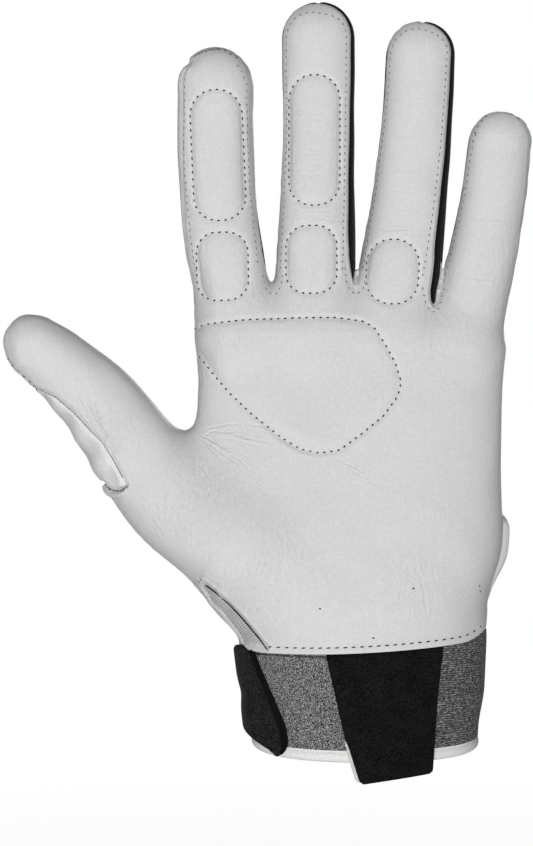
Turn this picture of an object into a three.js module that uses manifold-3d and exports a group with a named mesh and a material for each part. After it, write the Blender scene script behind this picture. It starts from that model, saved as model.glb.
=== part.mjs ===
// Padded inner glove for the left hand of a ball-game catcher, in millimetres.
// +Z runs from the wrist to the fingertips, +X points to the little-finger side and the palm faces -Y.
// The origin is the centre of the wrist opening, level with the rim.
import * as THREE from 'three';
import { mergeVertices } from 'three/addons/utils/BufferGeometryUtils.js';
import Module from 'manifold-3d';

const wasm = await Module();
wasm.setup();

// Sheet thicknesses and clearances
const seamGap = 0.3;
const leatherThickness = 1.0;
const padThickness = 2.6;
const padLift = 0.8;
const backingThickness = 0.6;
const strapThickness = 1.5;
const hookThickness = 0.8;
const loopThickness = 0.8;
const tabThickness = 1.2;
const tabLiningThickness = 0.6;
const bandThickness = 1.4;
const bindingThickness = 2.0;

// Roundness of every section: 2 is an ellipse, more is squarer
const roundness = 2.3;

// Finger stalls: root of the centre line, length, lean from upright in degrees (positive to the little
// finger), sideways bow and sway of the centre line, forward curl of the tip, widths and depths
const index = {
  rootX: -38.7, rootY: 0, rootZ: 122, length: 87, lean: -3.9, bow: -2.9, sway: 0, curl: 5,
  baseWidth: 25, midWidth: 22.3, tipWidth: 23.2, baseDepth: 26, midDepth: 21, tipDepth: 17.5,
};
const middle = {
  rootX: -15.2, rootY: 0, rootZ: 122, length: 100.5, lean: 0.7, bow: 0.4, sway: 0, curl: 6,
  baseWidth: 26, midWidth: 21.9, tipWidth: 22.6, baseDepth: 27, midDepth: 21.5, tipDepth: 17.5,
};
const ring = {
  rootX: 8, rootY: 0, rootZ: 122, length: 94.7, lean: 5.3, bow: 1.7, sway: 0, curl: 6,
  baseWidth: 25.4, midWidth: 22.2, tipWidth: 20.6, baseDepth: 26, midDepth: 20.5, tipDepth: 16.5,
};
const little = {
  rootX: 28.7, rootY: 0, rootZ: 118, length: 72.9, lean: 9.4, bow: 1.9, sway: 0, curl: 5,
  baseWidth: 23.4, midWidth: 20.3, tipWidth: 18.6, baseDepth: 23, midDepth: 18.5, tipDepth: 15,
};
const thumb = {
  rootX: -42, rootY: -3, rootZ: 60, length: 92.7, lean: -44.6, bow: 1.4, sway: -2.6, curl: 5,
  baseWidth: 32, midWidth: 25.8, tipWidth: 21.1, baseDepth: 40, midDepth: 24, tipDepth: 17.5,
};
const fingers = [index, middle, ring, little];
const stalls = [...fingers, thumb];
const stallSink = 0.16;
const rootTaper = 2.2;

// Palm sections from below the hem up to the knuckles: height, left and right edge, front and back depth
const palm = {
  z: [8, 31, 45, 60, 78, 98, 117],
  left: [-37.5, -38.7, -46.8, -56.5, -53, -50.2, -50.8],
  right: [35.6, 36.3, 37, 42.8, 40.6, 40.6, 41.8],
  front: [25.5, 25.5, 25, 23, 20, 17, 14.6],
  back: [25.5, 25.5, 24.5, 21.5, 18.5, 16.5, 14.6],
};
const palmTop = palm.z.length - 1;
const palmLeft = Math.min(...palm.left);
const knuckleDome = 17;
const knuckleSlope = -0.1;

// Palm hem, seen from the front: level on the thumb side, rising to the little-finger side
const hemLeftZ = 30;
const hemMidX = -8;
const hemMidZ = 29.2;
const hemRightX = 37;
const hemRightZ = 35.6;

// Seams: where each panel ends on the left and right of a stall, as a share of its half depth
const backSeam = 0.5;
const indexSeam = { left: -0.42, right: -0.28 };
const middleSeam = { left: -0.2, right: -0.62 };
const ringSeam = { left: -0.2, right: -0.66 };
const littleSeam = { left: -0.42, right: -0.1 };
const thumbSeam = { left: -0.36, right: 0.1 };
const thenarSeam = 0.3;
const palmSeamY = 1.5;
const sideSeamY = 11;
const sideSeamX = 8.5;
const edgeRoom = 8;
const crotchZ = 92;
const cutReach = 1.14;
const outsideReach = 1.4;
const sideReach = 0.15;
const pastTip = 1.04;

// Flex insert on the outer side of the thumb, as shares of the stall's length
const flexStart = 0.35;
const flexEnd = 0.79;
const flexInner = -0.55;
const thumbBackStart = 0.2;

// Vent gusset in the slit on the thumb side of the wrist
const ventTopX = -47.2;
const ventTopZ = 48;
const ventFrontX = -29;
const ventRearX = -35.6;
const ventBackY = -1.5;
const ventDrop = 3;
const ventSlant = 1.6;

// Quilted pads on the fingers: distance along the stall, shift from its centre line, size of the
// outline and rounding of its corners
const pads = {
  index_tip: { stall: index, along: 54.7, shift: 0.9, width: 15.6, length: 39, radius: 7.4 },
  index_base: { stall: index, along: 21.4, shift: -0.8, width: 15.4, length: 20.4, radius: 5 },
  middle_tip: { stall: middle, along: 59.0, shift: -1.0, width: 15.2, length: 39, radius: 7.2 },
  middle_base: { stall: middle, along: 23.2, shift: -1.3, width: 15.2, length: 20.2, radius: 5 },
  ring_base: { stall: ring, along: 19.6, shift: -2.2, width: 15.4, length: 19.4, radius: 6.5 },
};
// The palm pad, below the knuckles
const palmPadTopZ = 127.4;
const palmPadLeft = -47.5;
const palmPadRight = 3.5;
const palmPadSideX = 12;
const palmPadSideZ = 106;
const palmPadTipX = -13;
const palmPadTipZ = 85;
const palmPadShoulderZ = 113;
const palmPadRadius = 8;
const padBackY = -4;

// Cuff: rim of the wrist opening, binding and band
const rimHalfWidth = 33.6;
const rimHalfDepth = 22.2;
const rimDip = 2.6;
const bindingHeight = 5.6;
const bandTuck = 5;
const tuckLean = 0.8;

// Closure strap: heights, where the hinges and the slanted end lie, and angles in degrees round the wrist
const strapTopZ = 27.6;
const strapBackLowZ = 6;
const strapTipLowZ = 0;
const strapBackX = 12;
const strapWingAngle = 133;
const strapTipAngle = 192;
const strapTipTopX = -32;
const strapTipLowX = -22.5;
const hookInset = 3;
const loopStartAngle = 200;
const loopEndRoom = 6;
const hingeGap = 0.9;

// Pull tab, hung from the palm hem
const tabTopLeft = -11.6;
const tabTopRight = 23;
const tabLowLeft = -1.7;
const tabLowRight = 19.6;
const tabLowZ = -8;
const tabLowSlope = 1.5;
const tabHemGap = 0.5;
const tabLiningInset = 0.6;

// Facets
const stallSides = 16;
const stallSteps = 4;
const domeSteps = 3;
const domeCap = 0.35;
const palmSides = 24;
const wristSteps = 30;
const cornerSegments = 3;
const roundShare = 0.49;
const bindingSteps = 4;
const strapBaseSteps = 7;
const strapWingSteps = 8;
const strapTipSteps = 5;
const hookSteps = 4;
const loopSteps = 8;
const tabSteps = 8;
const farAway = 90;

// Materials
function finish(color, roughness) {
  return new THREE.MeshStandardMaterial({ color, roughness, metalness: 0 });
}
const whiteLeather = finish(0xd3d3d3, 0.55);
const blackStretch = finish(0x161617, 0.8);
const greyKnit = finish(0xb1b1b1, 0.85);
const greyElastic = finish(0x575757, 0.85);
const greyLoop = finish(0x686868, 0.95);
const blackStrap = finish(0x1c1c1d, 0.75);
const whiteBinding = finish(0xf0f0f0, 0.6);
const paleLining = finish(0xd8d8d8, 0.8);
const greyFoam = finish(0x8c8f94, 0.9);
const paleBacking = finish(0xcfcfd2, 0.85);

// Turns a closed geometry into a solid that can be cut
function toSolid(geometry) {
  const plain = geometry.clone();
  plain.deleteAttribute('normal');
  plain.deleteAttribute('uv');
  const merged = mergeVertices(plain, 1e-4);
  return new wasm.Manifold(new wasm.Mesh({
    numProp: 3,
    vertProperties: new Float32Array(merged.attributes.position.array),
    triVerts: new Uint32Array(merged.index.array),
  }));
}

function toGeometry(solid) {
  const mesh = solid.getMesh();
  const geometry = new THREE.BufferGeometry();
  geometry.setAttribute('position', new THREE.BufferAttribute(mesh.vertProperties, 3));
  geometry.setIndex(new THREE.BufferAttribute(mesh.triVerts, 1));
  geometry.computeVertexNormals();
  return geometry;
}

function joined(solids) {
  return solids.reduce((sum, solid) => sum.add(solid));
}

// The main body of a cut sheet, without the crumbs that a cut can leave beside it
function mainBody(solid) {
  return solid.decompose().reduce((best, body) => (body.volume() > best.volume() ? body : best));
}

// Skins a row of rings that have the same number of points, with a fan over each end
function loft(rings, closed = false) {
  const count = rings[0].length;
  const points = rings.flat();
  const faces = [];
  const spans = closed ? rings.length : rings.length - 1;
  for (let ringIndex = 0; ringIndex < spans; ringIndex += 1) {
    const near = ringIndex * count;
    const far = ((ringIndex + 1) % rings.length) * count;
    for (let i = 0; i < count; i += 1) {
      const next = (i + 1) % count;
      faces.push(near + i, near + next, far + next, near + i, far + next, far + i);
    }
  }
  if (!closed) {
    [0, rings.length - 1].forEach((end) => {
      const hub = points.length;
      const sum = rings[end].reduce((total, point) => total.add(point), new THREE.Vector3());
      points.push(sum.divideScalar(count));
      for (let i = 0; i < count; i += 1) {
        const edge = [end * count + i, end * count + ((i + 1) % count)];
        faces.push(hub, ...(end === 0 ? edge.reverse() : edge));
      }
    });
  }
  const volume = faces.reduce((total, corner, i) => {
    if (i % 3 !== 0) return total;
    const [a, b, c] = [corner, faces[i + 1], faces[i + 2]].map((k) => points[k]);
    return total + new THREE.Vector3().crossVectors(b, c).dot(a);
  }, 0);
  const geometry = new THREE.BufferGeometry().setFromPoints(points);
  geometry.setIndex(volume < 0 ? faces.reverse() : faces);
  geometry.computeVertexNormals();
  return geometry;
}

// A unit section: its across and through shares at an angle, squarer than an ellipse
function sectionPoint(angle) {
  const power = 2 / roundness;
  const across = Math.cos(angle);
  const through = Math.sin(angle);
  return {
    across: Math.sign(across) * Math.abs(across) ** power,
    through: Math.sign(through) * Math.abs(through) ** power,
  };
}

// A curve through three values at 0, 0.5 and 1
function quadratic(first, half, last, u) {
  return first * (1 - u) * (1 - 2 * u) + half * 4 * u * (1 - u) + last * u * (2 * u - 1);
}

function stallCentre(stall, u) {
  const lean = THREE.MathUtils.degToRad(stall.lean);
  const along = stall.length * u;
  const aside = stall.bow * Math.sin(Math.PI * u) + stall.sway * Math.sin(2 * Math.PI * u);
  return new THREE.Vector3(
    stall.rootX + along * Math.sin(lean) + aside * Math.cos(lean),
    stall.rootY - stall.curl * u * u,
    stall.rootZ + along * Math.cos(lean) - aside * Math.sin(lean),
  );
}

// Centre, sideways direction and half sizes of a stall at one place along it
function stallSection(stall, u, sizeAt = Math.max(u, 0)) {
  const step = 0.01;
  const run = stallCentre(stall, u + step).sub(stallCentre(stall, u - step));
  const sunk = 1 + rootTaper * Math.min(u, 0);
  return {
    u,
    centre: stallCentre(stall, u),
    across: new THREE.Vector3(run.z, 0, -run.x).normalize(),
    halfWidth: (quadratic(stall.baseWidth, stall.midWidth, stall.tipWidth, sizeAt) / 2) * sunk,
    halfDepth: (quadratic(stall.baseDepth, stall.midDepth, stall.tipDepth, sizeAt) / 2) * sunk,
  };
}

// Rings of a dome climb by equal angles and stop short of the pole, where the end cap closes it
function domeAngle(step) {
  return (step / (domeSteps + domeCap)) * (Math.PI / 2);
}

// Stations along a stall from its sunk root to its rounded tip, drawn in by an inset
function stallStations(stall, inset) {
  const tipRound = stall.tipWidth / 2;
  const bodyEnd = 1 - tipRound / stall.length;
  const stations = [];
  for (let i = 0; i <= stallSteps; i += 1) {
    const section = stallSection(stall, THREE.MathUtils.lerp(-stallSink, bodyEnd, i / stallSteps));
    section.halfWidth -= inset;
    section.halfDepth -= inset;
    stations.push(section);
  }
  for (let i = 1; i <= domeSteps; i += 1) {
    const angle = domeAngle(i);
    const u = bodyEnd + ((tipRound - inset) * Math.sin(angle)) / stall.length;
    const section = stallSection(stall, u, bodyEnd);
    section.halfWidth = (section.halfWidth - inset) * Math.cos(angle);
    section.halfDepth = (section.halfDepth - inset) * Math.cos(angle);
    stations.push(section);
  }
  return stations;
}

function placed(section, across, through) {
  const point = section.centre.clone().addScaledVector(section.across, across * section.halfWidth);
  point.y += through * section.halfDepth;
  return point;
}

function stallForm(stall, inset) {
  const rings = stallStations(stall, inset).map((section) => {
    const points = [];
    for (let i = 0; i < stallSides; i += 1) {
      const at = sectionPoint((2 * Math.PI * i) / stallSides);
      points.push(placed(section, at.across, at.through));
    }
    return points;
  });
  return toSolid(loft(rings));
}

// A slab that follows a stall between two seam levels, each given at the left and right edge
function stallBand(stall, { across = [-cutReach, cutReach], low, high, along = [-stallSink, pastTip] }) {
  const level = (pair, at) => THREE.MathUtils.lerp(pair[0], pair[1], (at + 1) / 2);
  const [start, end] = along;
  const stations = stallStations(stall, 0).filter(({ u }) => u >= start && u < end);
  if (start > -stallSink) stations.unshift(stallSection(stall, start));
  if (end < 1) {
    stations.push(stallSection(stall, end));
  } else {
    const last = stations[stations.length - 1];
    stations.push({ ...last, centre: stallCentre(stall, end) });
  }
  const rings = stations.map((section) => [
    placed(section, across[0], level(low, across[0])),
    placed(section, across[1], level(low, across[1])),
    placed(section, across[1], level(high, across[1])),
    placed(section, across[0], level(high, across[0])),
  ]);
  return toSolid(loft(rings));
}

// One palm section. Above the last station it rises and shrinks into the knuckle line, which drops
// towards the little finger.
function palmRing(station, inset, rise, shrink) {
  const left = palm.left[station] + inset;
  const right = palm.right[station] - inset;
  const front = palm.front[station] - inset;
  const back = palm.back[station] - inset;
  const points = [];
  for (let i = 0; i < palmSides; i += 1) {
    const unit = sectionPoint((2 * Math.PI * i) / palmSides);
    const x = (left + right) / 2 + ((right - left) / 2) * unit.across;
    const y = unit.through * (unit.through < 0 ? front : back) * shrink;
    const z = palm.z[station] + rise + knuckleSlope * x * (rise / knuckleDome);
    points.push(new THREE.Vector3(x, y, z));
  }
  return points;
}

function palmForm(inset) {
  const rings = [];
  for (let station = 0; station <= palmTop; station += 1) {
    rings.push(palmRing(station, inset, 0, 1));
  }
  for (let i = 1; i <= domeSteps; i += 1) {
    const angle = domeAngle(i);
    rings.push(palmRing(palmTop, inset, (knuckleDome - inset) * Math.sin(angle), Math.cos(angle)));
  }
  return toSolid(loft(rings));
}

const formCache = new Map();

// The whole hand shape, drawn in by an inset
function handForm(inset) {
  if (!formCache.has(inset)) {
    formCache.set(inset, joined([palmForm(inset), ...stalls.map((stall) => stallForm(stall, inset))]));
  }
  return formCache.get(inset);
}

// A prism with an outline in X and Z, between two depths
function prism(shape, fromY, toY) {
  const geometry = new THREE.ExtrudeGeometry(shape, {
    depth: toY - fromY,
    bevelEnabled: false,
    curveSegments: cornerSegments,
  });
  geometry.rotateX(Math.PI / 2);
  geometry.translate(0, toY, 0);
  return toSolid(geometry);
}

function outline(points) {
  return new THREE.Shape(points.map(([x, z]) => new THREE.Vector2(x, z)));
}

// A convex outline drawn in by an inset, with its corners rounded
function roundedOutline(corners, radius, inset) {
  const count = corners.length;
  const edges = corners.map((corner, i) => {
    const start = new THREE.Vector2(...corner);
    const run = new THREE.Vector2(...corners[(i + 1) % count]).sub(start).normalize();
    return { start: start.addScaledVector(new THREE.Vector2(-run.y, run.x), inset), run };
  });
  const moved = edges.map((edge, i) => {
    const before = edges[(i + count - 1) % count];
    const gap = edge.start.clone().sub(before.start);
    const reach = gap.cross(edge.run) / before.run.cross(edge.run);
    return before.start.clone().addScaledVector(before.run, reach);
  });
  const shape = new THREE.Shape();
  moved.forEach((corner, i) => {
    const round = (toward) => {
      const run = moved[(i + toward + count) % count].clone().sub(corner);
      return corner.clone().addScaledVector(run, Math.min((radius - inset) / run.length(), roundShare));
    };
    const enter = round(-1);
    const leave = round(1);
    if (i === 0) shape.moveTo(enter.x, enter.y);
    else shape.lineTo(enter.x, enter.y);
    shape.quadraticCurveTo(corner.x, corner.y, leave.x, leave.y);
  });
  shape.closePath();
  return shape;
}

// Corners of a finger pad, upright on its stall
function padCorners(pad) {
  const centre = stallCentre(pad.stall, pad.along / pad.stall.length);
  const x = centre.x + pad.shift;
  const halfWidth = pad.width / 2;
  const halfLength = pad.length / 2;
  return [
    [x - halfWidth, centre.z - halfLength],
    [x + halfWidth, centre.z - halfLength],
    [x + halfWidth, centre.z + halfLength],
    [x - halfWidth, centre.z + halfLength],
  ];
}

const padOutlines = Object.entries(pads).map(([name, pad]) => (
  { name, corners: padCorners(pad), radius: pad.radius }
));
padOutlines.push({
  name: 'palm',
  corners: [
    [palmPadTipX, palmPadTipZ],
    [palmPadSideX, palmPadSideZ],
    [palmPadRight, palmPadTopZ],
    [palmPadLeft, palmPadTopZ],
    [palmPadLeft, palmPadShoulderZ],
  ],
  radius: palmPadRadius,
});

function padPrism(pad, inset) {
  return prism(roundedOutline(pad.corners, pad.radius, inset), -farAway, padBackY);
}

// Everything below the hem line, seen from the front
const belowHem = new THREE.Shape();
belowHem.moveTo(-farAway, hemLeftZ);
belowHem.lineTo(palm.left[1], hemLeftZ);
belowHem.quadraticCurveTo(hemMidX, 2 * hemMidZ - (hemLeftZ + hemRightZ) / 2, hemRightX, hemRightZ);
belowHem.lineTo(farAway, hemRightZ);
belowHem.lineTo(farAway, -farAway);
belowHem.lineTo(-farAway, -farAway);
belowHem.closePath();

// The sewn shell: the hand shape with raised pads, hollowed, and open below the hem
const padPocketInset = leatherThickness / 2;
const padInset = padPocketInset + seamGap;
const raised = padOutlines.map((pad) => padPrism(pad, 0).intersect(handForm(-padLift)));
const pockets = padOutlines.map((pad) => (
  padPrism(pad, padPocketInset).intersect(handForm(leatherThickness - padLift))
));
const shell = joined([handForm(0), ...raised])
  .subtract(joined([handForm(leatherThickness), ...pockets]))
  .subtract(prism(belowHem, -farAway, farAway));

// Seam cutters. Each panel is the shell inside its own cutter and clear of the cutters before it.
const farFront = -2;
const farBack = 2;
const panelFront = -1;
const levels = (seam) => [seam.left, seam.right];
const flat = (level) => [level, level];
const share = (stall, size) => (2 * size) / stall.midDepth;
const lifted = (seam, stall, by) => levels(seam).map((level) => level + share(stall, by));

function frontCutter(grow) {
  const seams = [[index, indexSeam], [middle, middleSeam], [ring, ringSeam], [little, littleSeam]];
  const bands = [...seams, [thumb, thumbSeam]].map(([stall, seam]) => (
    stallBand(stall, { low: flat(farFront), high: lifted(seam, stall, grow) })
  ));
  const thenar = stallBand(thumb, {
    low: flat(farFront),
    high: flat(thenarSeam + share(thumb, grow)),
    along: [-stallSink, flexStart],
  });
  const palmFront = new THREE.BoxGeometry(farAway - palmLeft, farAway, palm.z[palmTop] + palm.z[0]);
  palmFront.translate((farAway + palmLeft) / 2, palmSeamY + grow - farAway / 2, palm.z[palmTop] / 2);
  return joined([toSolid(palmFront), thenar, ...bands]);
}

function flexCutter(grow) {
  return stallBand(thumb, {
    across: [-outsideReach, flexInner + share(thumb, grow)],
    low: flat(farFront),
    high: flat(thumbSeam.right + share(thumb, grow)),
    along: [flexStart - grow / thumb.length, flexEnd + grow / thumb.length],
  });
}

function ventCutter(grow) {
  const slant = grow * ventSlant;
  return prism(outline([
    [ventRearX - slant, 0],
    [ventFrontX + slant, 0],
    [ventFrontX + slant, hemLeftZ - ventDrop],
    [ventTopX + grow, ventTopZ + slant],
    [ventTopX - grow, ventTopZ + slant],
    [ventRearX - slant, hemLeftZ - ventDrop],
  ]), -farAway, ventBackY + grow);
}

// The side strip of a stall, from its front seam to its back seam
function sideCutter(stall, onLeft, grow) {
  const inner = sideReach - share(stall, grow);
  return stallBand(stall, {
    across: onLeft ? [-cutReach, -inner] : [inner, cutReach],
    low: flat(panelFront),
    high: flat(backSeam + share(stall, grow)),
  });
}

// A block along one edge of the palm, from its front seam round to the back
function edgeBlock(edgeX, inwards, fromZ, grow) {
  const width = sideSeamX + edgeRoom + grow;
  const block = new THREE.BoxGeometry(width, sideSeamY + grow, palm.z[palmTop] - fromZ);
  const x = edgeX + inwards * (sideSeamX + grow - width / 2);
  block.translate(x, (sideSeamY + grow) / 2, (palm.z[palmTop] + fromZ) / 2);
  return toSolid(block);
}

function indexSideCutter(grow) {
  return sideCutter(index, true, grow).add(edgeBlock(palm.left[palmTop], 1, crotchZ, grow));
}

function littleSideCutter(grow) {
  return sideCutter(little, false, grow).add(edgeBlock(palm.right[1], -1, 0, grow));
}

function thumbBackCutter() {
  return stallBand(thumb, { low: flat(panelFront), high: flat(farBack), along: [thumbBackStart, pastTip] });
}

function fourchetteCutter(left, right, grow) {
  return sideCutter(left, false, grow).add(sideCutter(right, true, grow));
}

// Cuts the panels from the shell in order, each clear of those before it by the seam gap
const panelOrder = [
  ['thumb_flex_panel', flexCutter, whiteLeather],
  ['vent_gusset', ventCutter, greyKnit],
  ['palm_panel', frontCutter, whiteLeather],
  ['index_side_panel', indexSideCutter, whiteLeather],
  ['little_side_panel', littleSideCutter, whiteLeather],
  ['thumb_back_panel', thumbBackCutter, whiteLeather],
  ['index_middle_fourchette', (grow) => fourchetteCutter(index, middle, grow), blackStretch],
  ['middle_ring_fourchette', (grow) => fourchetteCutter(middle, ring, grow), blackStretch],
  ['ring_little_fourchette', (grow) => fourchetteCutter(ring, little, grow), blackStretch],
];

const glove = new THREE.Group();

function addPiece(name, geometry, material) {
  const mesh = new THREE.Mesh(geometry, material);
  mesh.name = name;
  glove.add(mesh);
}

let rest = shell;
panelOrder.forEach(([name, cutter, material]) => {
  addPiece(name, toGeometry(mainBody(rest.intersect(cutter(0)))), material);
  rest = rest.subtract(cutter(seamGap));
});
addPiece('back_panel', toGeometry(mainBody(rest)), blackStretch);

// Foam pads in their pockets, each with the cloth it is quilted to
const padFrontInset = leatherThickness - padLift + seamGap;
const padRearInset = padFrontInset + padThickness;
const backingFrontInset = padRearInset + seamGap;
padOutlines.forEach((pad) => {
  const foam = padPrism(pad, padInset)
    .intersect(handForm(padFrontInset))
    .subtract(handForm(padRearInset));
  addPiece(`${pad.name}_pad`, toGeometry(mainBody(foam)), greyFoam);
  const backing = padPrism(pad, padInset)
    .intersect(handForm(backingFrontInset))
    .subtract(handForm(backingFrontInset + backingThickness));
  addPiece(`${pad.name}_backing`, toGeometry(mainBody(backing)), paleBacking);
});

// The wrist: a tapered ring that fits inside the hem, and strips that follow its outside
const hemZ = palm.z[1];
const wrist = {
  centreX: (palm.left[1] + palm.right[1]) / 2,
  halfWidth: (palm.right[1] - palm.left[1]) / 2 - leatherThickness - seamGap,
  halfDepth: palm.front[1] - leatherThickness - seamGap,
};

// A point at an angle round the wrist (180 is the thumb side, 270 the palm side), proud by an offset
function wristPoint(degrees, z, offset) {
  const unit = sectionPoint(THREE.MathUtils.degToRad(degrees));
  const taper = Math.min(z / hemZ, 1);
  const halfWidth = THREE.MathUtils.lerp(rimHalfWidth, wrist.halfWidth, taper) + offset;
  const halfDepth = THREE.MathUtils.lerp(rimHalfDepth, wrist.halfDepth, taper) + offset;
  return new THREE.Vector3(
    wrist.centreX * taper + halfWidth * unit.across,
    halfDepth * unit.through,
    z + rimDip * unit.through * (1 - taper),
  );
}

// The angle of a point on the palm side of the wrist from its place across
function palmSideAngle(x, z, offset) {
  const taper = Math.min(z / hemZ, 1);
  const halfWidth = THREE.MathUtils.lerp(rimHalfWidth, wrist.halfWidth, taper) + offset;
  const unit = (x - wrist.centreX * taper) / halfWidth;
  const cosine = Math.sign(unit) * Math.abs(unit) ** (roundness / 2);
  return 360 - THREE.MathUtils.radToDeg(Math.acos(cosine));
}

// A ring round the wrist from a closed profile of [offset, z] points
function wristRing(profile) {
  const rings = [];
  for (let i = 0; i < wristSteps; i += 1) {
    rings.push(profile.map(([offset, z]) => wristPoint((360 * i) / wristSteps, z, offset)));
  }
  return loft(rings, true);
}

// A strip round the wrist. Its ends may slant: from and to hold the angle at the top and at the bottom.
function wristStrip({ from, to, topZ, lowZ, inner, thickness, steps }) {
  const rings = [];
  for (let i = 0; i <= steps; i += 1) {
    const s = i / steps;
    const mix = (pair) => THREE.MathUtils.lerp(pair[0], pair[1], s);
    const topAngle = mix([from.top, to.top]);
    const lowAngle = mix([from.low, to.low]);
    rings.push([
      wristPoint(topAngle, mix(topZ), mix(inner)),
      wristPoint(topAngle, mix(topZ), mix(inner) + thickness),
      wristPoint(lowAngle, mix(lowZ), mix(inner) + thickness),
      wristPoint(lowAngle, mix(lowZ), mix(inner)),
    ]);
  }
  return loft(rings);
}

const square = (angle) => ({ top: angle, low: angle });

function addCuff() {
  addPiece('cuff_band', wristRing([
    [0, bindingHeight + seamGap],
    [0, hemZ],
    [-tuckLean, hemZ + bandTuck],
    [-tuckLean - bandThickness, hemZ + bandTuck],
    [-bandThickness, hemZ],
    [-bandThickness, bindingHeight + seamGap],
  ]), greyElastic);
  const middleOffset = -bindingThickness / 2;
  const profile = [];
  for (let i = 0; i <= bindingSteps; i += 1) {
    const angle = Math.PI * (i / bindingSteps);
    const reach = (bindingThickness / 2) * Math.cos(angle);
    profile.push([middleOffset + reach, (bindingThickness / 2) * (1 - Math.sin(angle))]);
  }
  profile.push([-bindingThickness, bindingHeight], [0, bindingHeight]);
  addPiece('cuff_binding', wristRing(profile), whiteBinding);
}

// Layers on the palm side of the band: loop pile, hook tape and strap
const loopInner = seamGap;
const hookInner = loopInner + loopThickness + seamGap;
const strapTipInner = hookInner + hookThickness + seamGap;

function addClosure() {
  const tipEnd = {
    top: palmSideAngle(strapTipTopX, strapTopZ, strapTipInner),
    low: palmSideAngle(strapTipLowX, strapTipLowZ, strapTipInner),
  };
  const backStart = 360 - palmSideAngle(strapBackX, strapTopZ, seamGap);
  addPiece('strap_base', wristStrip({
    from: square(backStart),
    to: square(strapWingAngle - hingeGap),
    topZ: [strapTopZ, strapTopZ],
    lowZ: [strapBackLowZ, strapBackLowZ],
    inner: [seamGap, seamGap],
    thickness: strapThickness,
    steps: strapBaseSteps,
  }), blackStrap);
  addPiece('strap_wing', wristStrip({
    from: square(strapWingAngle),
    to: square(strapTipAngle - hingeGap),
    topZ: [strapTopZ, strapTopZ],
    lowZ: [strapBackLowZ, strapBackLowZ],
    inner: [seamGap, strapTipInner],
    thickness: strapThickness,
    steps: strapWingSteps,
  }), blackStrap);
  addPiece('strap_tip', wristStrip({
    from: square(strapTipAngle),
    to: tipEnd,
    topZ: [strapTopZ, strapTopZ],
    lowZ: [strapBackLowZ, strapTipLowZ],
    inner: [strapTipInner, strapTipInner],
    thickness: strapThickness,
    steps: strapTipSteps,
  }), blackStrap);
  addPiece('hook_patch', wristStrip({
    from: square(loopStartAngle + hookInset),
    to: { top: tipEnd.top - hookInset, low: tipEnd.low - hookInset },
    topZ: [strapTopZ - hookInset, strapTopZ - hookInset],
    lowZ: [strapBackLowZ + hookInset, strapTipLowZ + bindingHeight + hookInset],
    inner: [hookInner, hookInner],
    thickness: hookThickness,
    steps: hookSteps,
  }), blackStrap);
  const tabEdge = (x, z) => palmSideAngle(x, z, seamGap) - hingeGap;
  addPiece('loop_patch', wristStrip({
    from: square(loopStartAngle),
    to: { top: tabEdge(tabTopLeft, strapTopZ), low: tabEdge(tabLowLeft, tabLowZ) - loopEndRoom },
    topZ: [strapTopZ, strapTopZ],
    lowZ: [bindingHeight + seamGap, bindingHeight + seamGap],
    inner: [loopInner, loopInner],
    thickness: loopThickness,
    steps: loopSteps,
  }), greyLoop);
}

// Height of the hem above a place across
function hemHeight(x) {
  const bend = 2 * hemMidZ - (hemLeftZ + hemRightZ) / 2;
  const t = (x - palm.left[1]) / (hemRightX - palm.left[1]);
  return hemLeftZ * (1 - t) * (1 - t) + 2 * bend * t * (1 - t) + hemRightZ * t * t;
}

function addPullTab() {
  const liningInner = seamGap;
  const tabInner = liningInner + tabLiningThickness + seamGap;
  const tabStrip = (inset, inner, thickness) => wristStrip({
    from: {
      top: palmSideAngle(tabTopLeft + inset, hemZ, inner),
      low: palmSideAngle(tabLowLeft + inset, tabLowZ, inner),
    },
    to: {
      top: palmSideAngle(tabTopRight - inset, hemZ, inner),
      low: palmSideAngle(tabLowRight - inset, tabLowZ, inner),
    },
    topZ: [hemHeight(tabTopLeft) - tabHemGap, hemHeight(tabTopRight) - tabHemGap],
    lowZ: [tabLowZ + inset, tabLowZ + tabLowSlope + inset],
    inner: [inner, inner],
    thickness,
    steps: tabSteps,
  });
  addPiece('pull_tab', tabStrip(0, tabInner, tabThickness), blackStrap);
  addPiece('pull_tab_lining', tabStrip(tabLiningInset, liningInner, tabLiningThickness), paleLining);
}

addCuff();
addClosure();
addPullTab();

export default glove;
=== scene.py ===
import math

import bpy
import numpy as np
from mathutils.bvhtree import BVHTree
from mathutils.kdtree import KDTree
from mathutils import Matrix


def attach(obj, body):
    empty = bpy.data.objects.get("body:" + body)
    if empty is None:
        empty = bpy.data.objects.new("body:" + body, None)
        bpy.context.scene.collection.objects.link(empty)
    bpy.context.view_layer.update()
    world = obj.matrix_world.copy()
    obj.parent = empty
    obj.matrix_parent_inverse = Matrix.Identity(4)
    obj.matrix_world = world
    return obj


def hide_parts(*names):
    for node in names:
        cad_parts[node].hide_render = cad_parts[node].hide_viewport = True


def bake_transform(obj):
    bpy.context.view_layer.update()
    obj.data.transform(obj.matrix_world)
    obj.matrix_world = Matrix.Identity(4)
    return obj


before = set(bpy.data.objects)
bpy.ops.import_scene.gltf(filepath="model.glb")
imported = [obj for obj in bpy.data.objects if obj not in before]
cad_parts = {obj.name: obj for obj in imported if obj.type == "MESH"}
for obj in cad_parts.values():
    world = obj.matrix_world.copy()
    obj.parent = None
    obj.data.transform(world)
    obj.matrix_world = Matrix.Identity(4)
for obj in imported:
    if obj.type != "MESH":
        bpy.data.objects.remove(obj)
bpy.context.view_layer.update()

bpy.ops.object.select_all(action="DESELECT")

MM = 0.001

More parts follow.
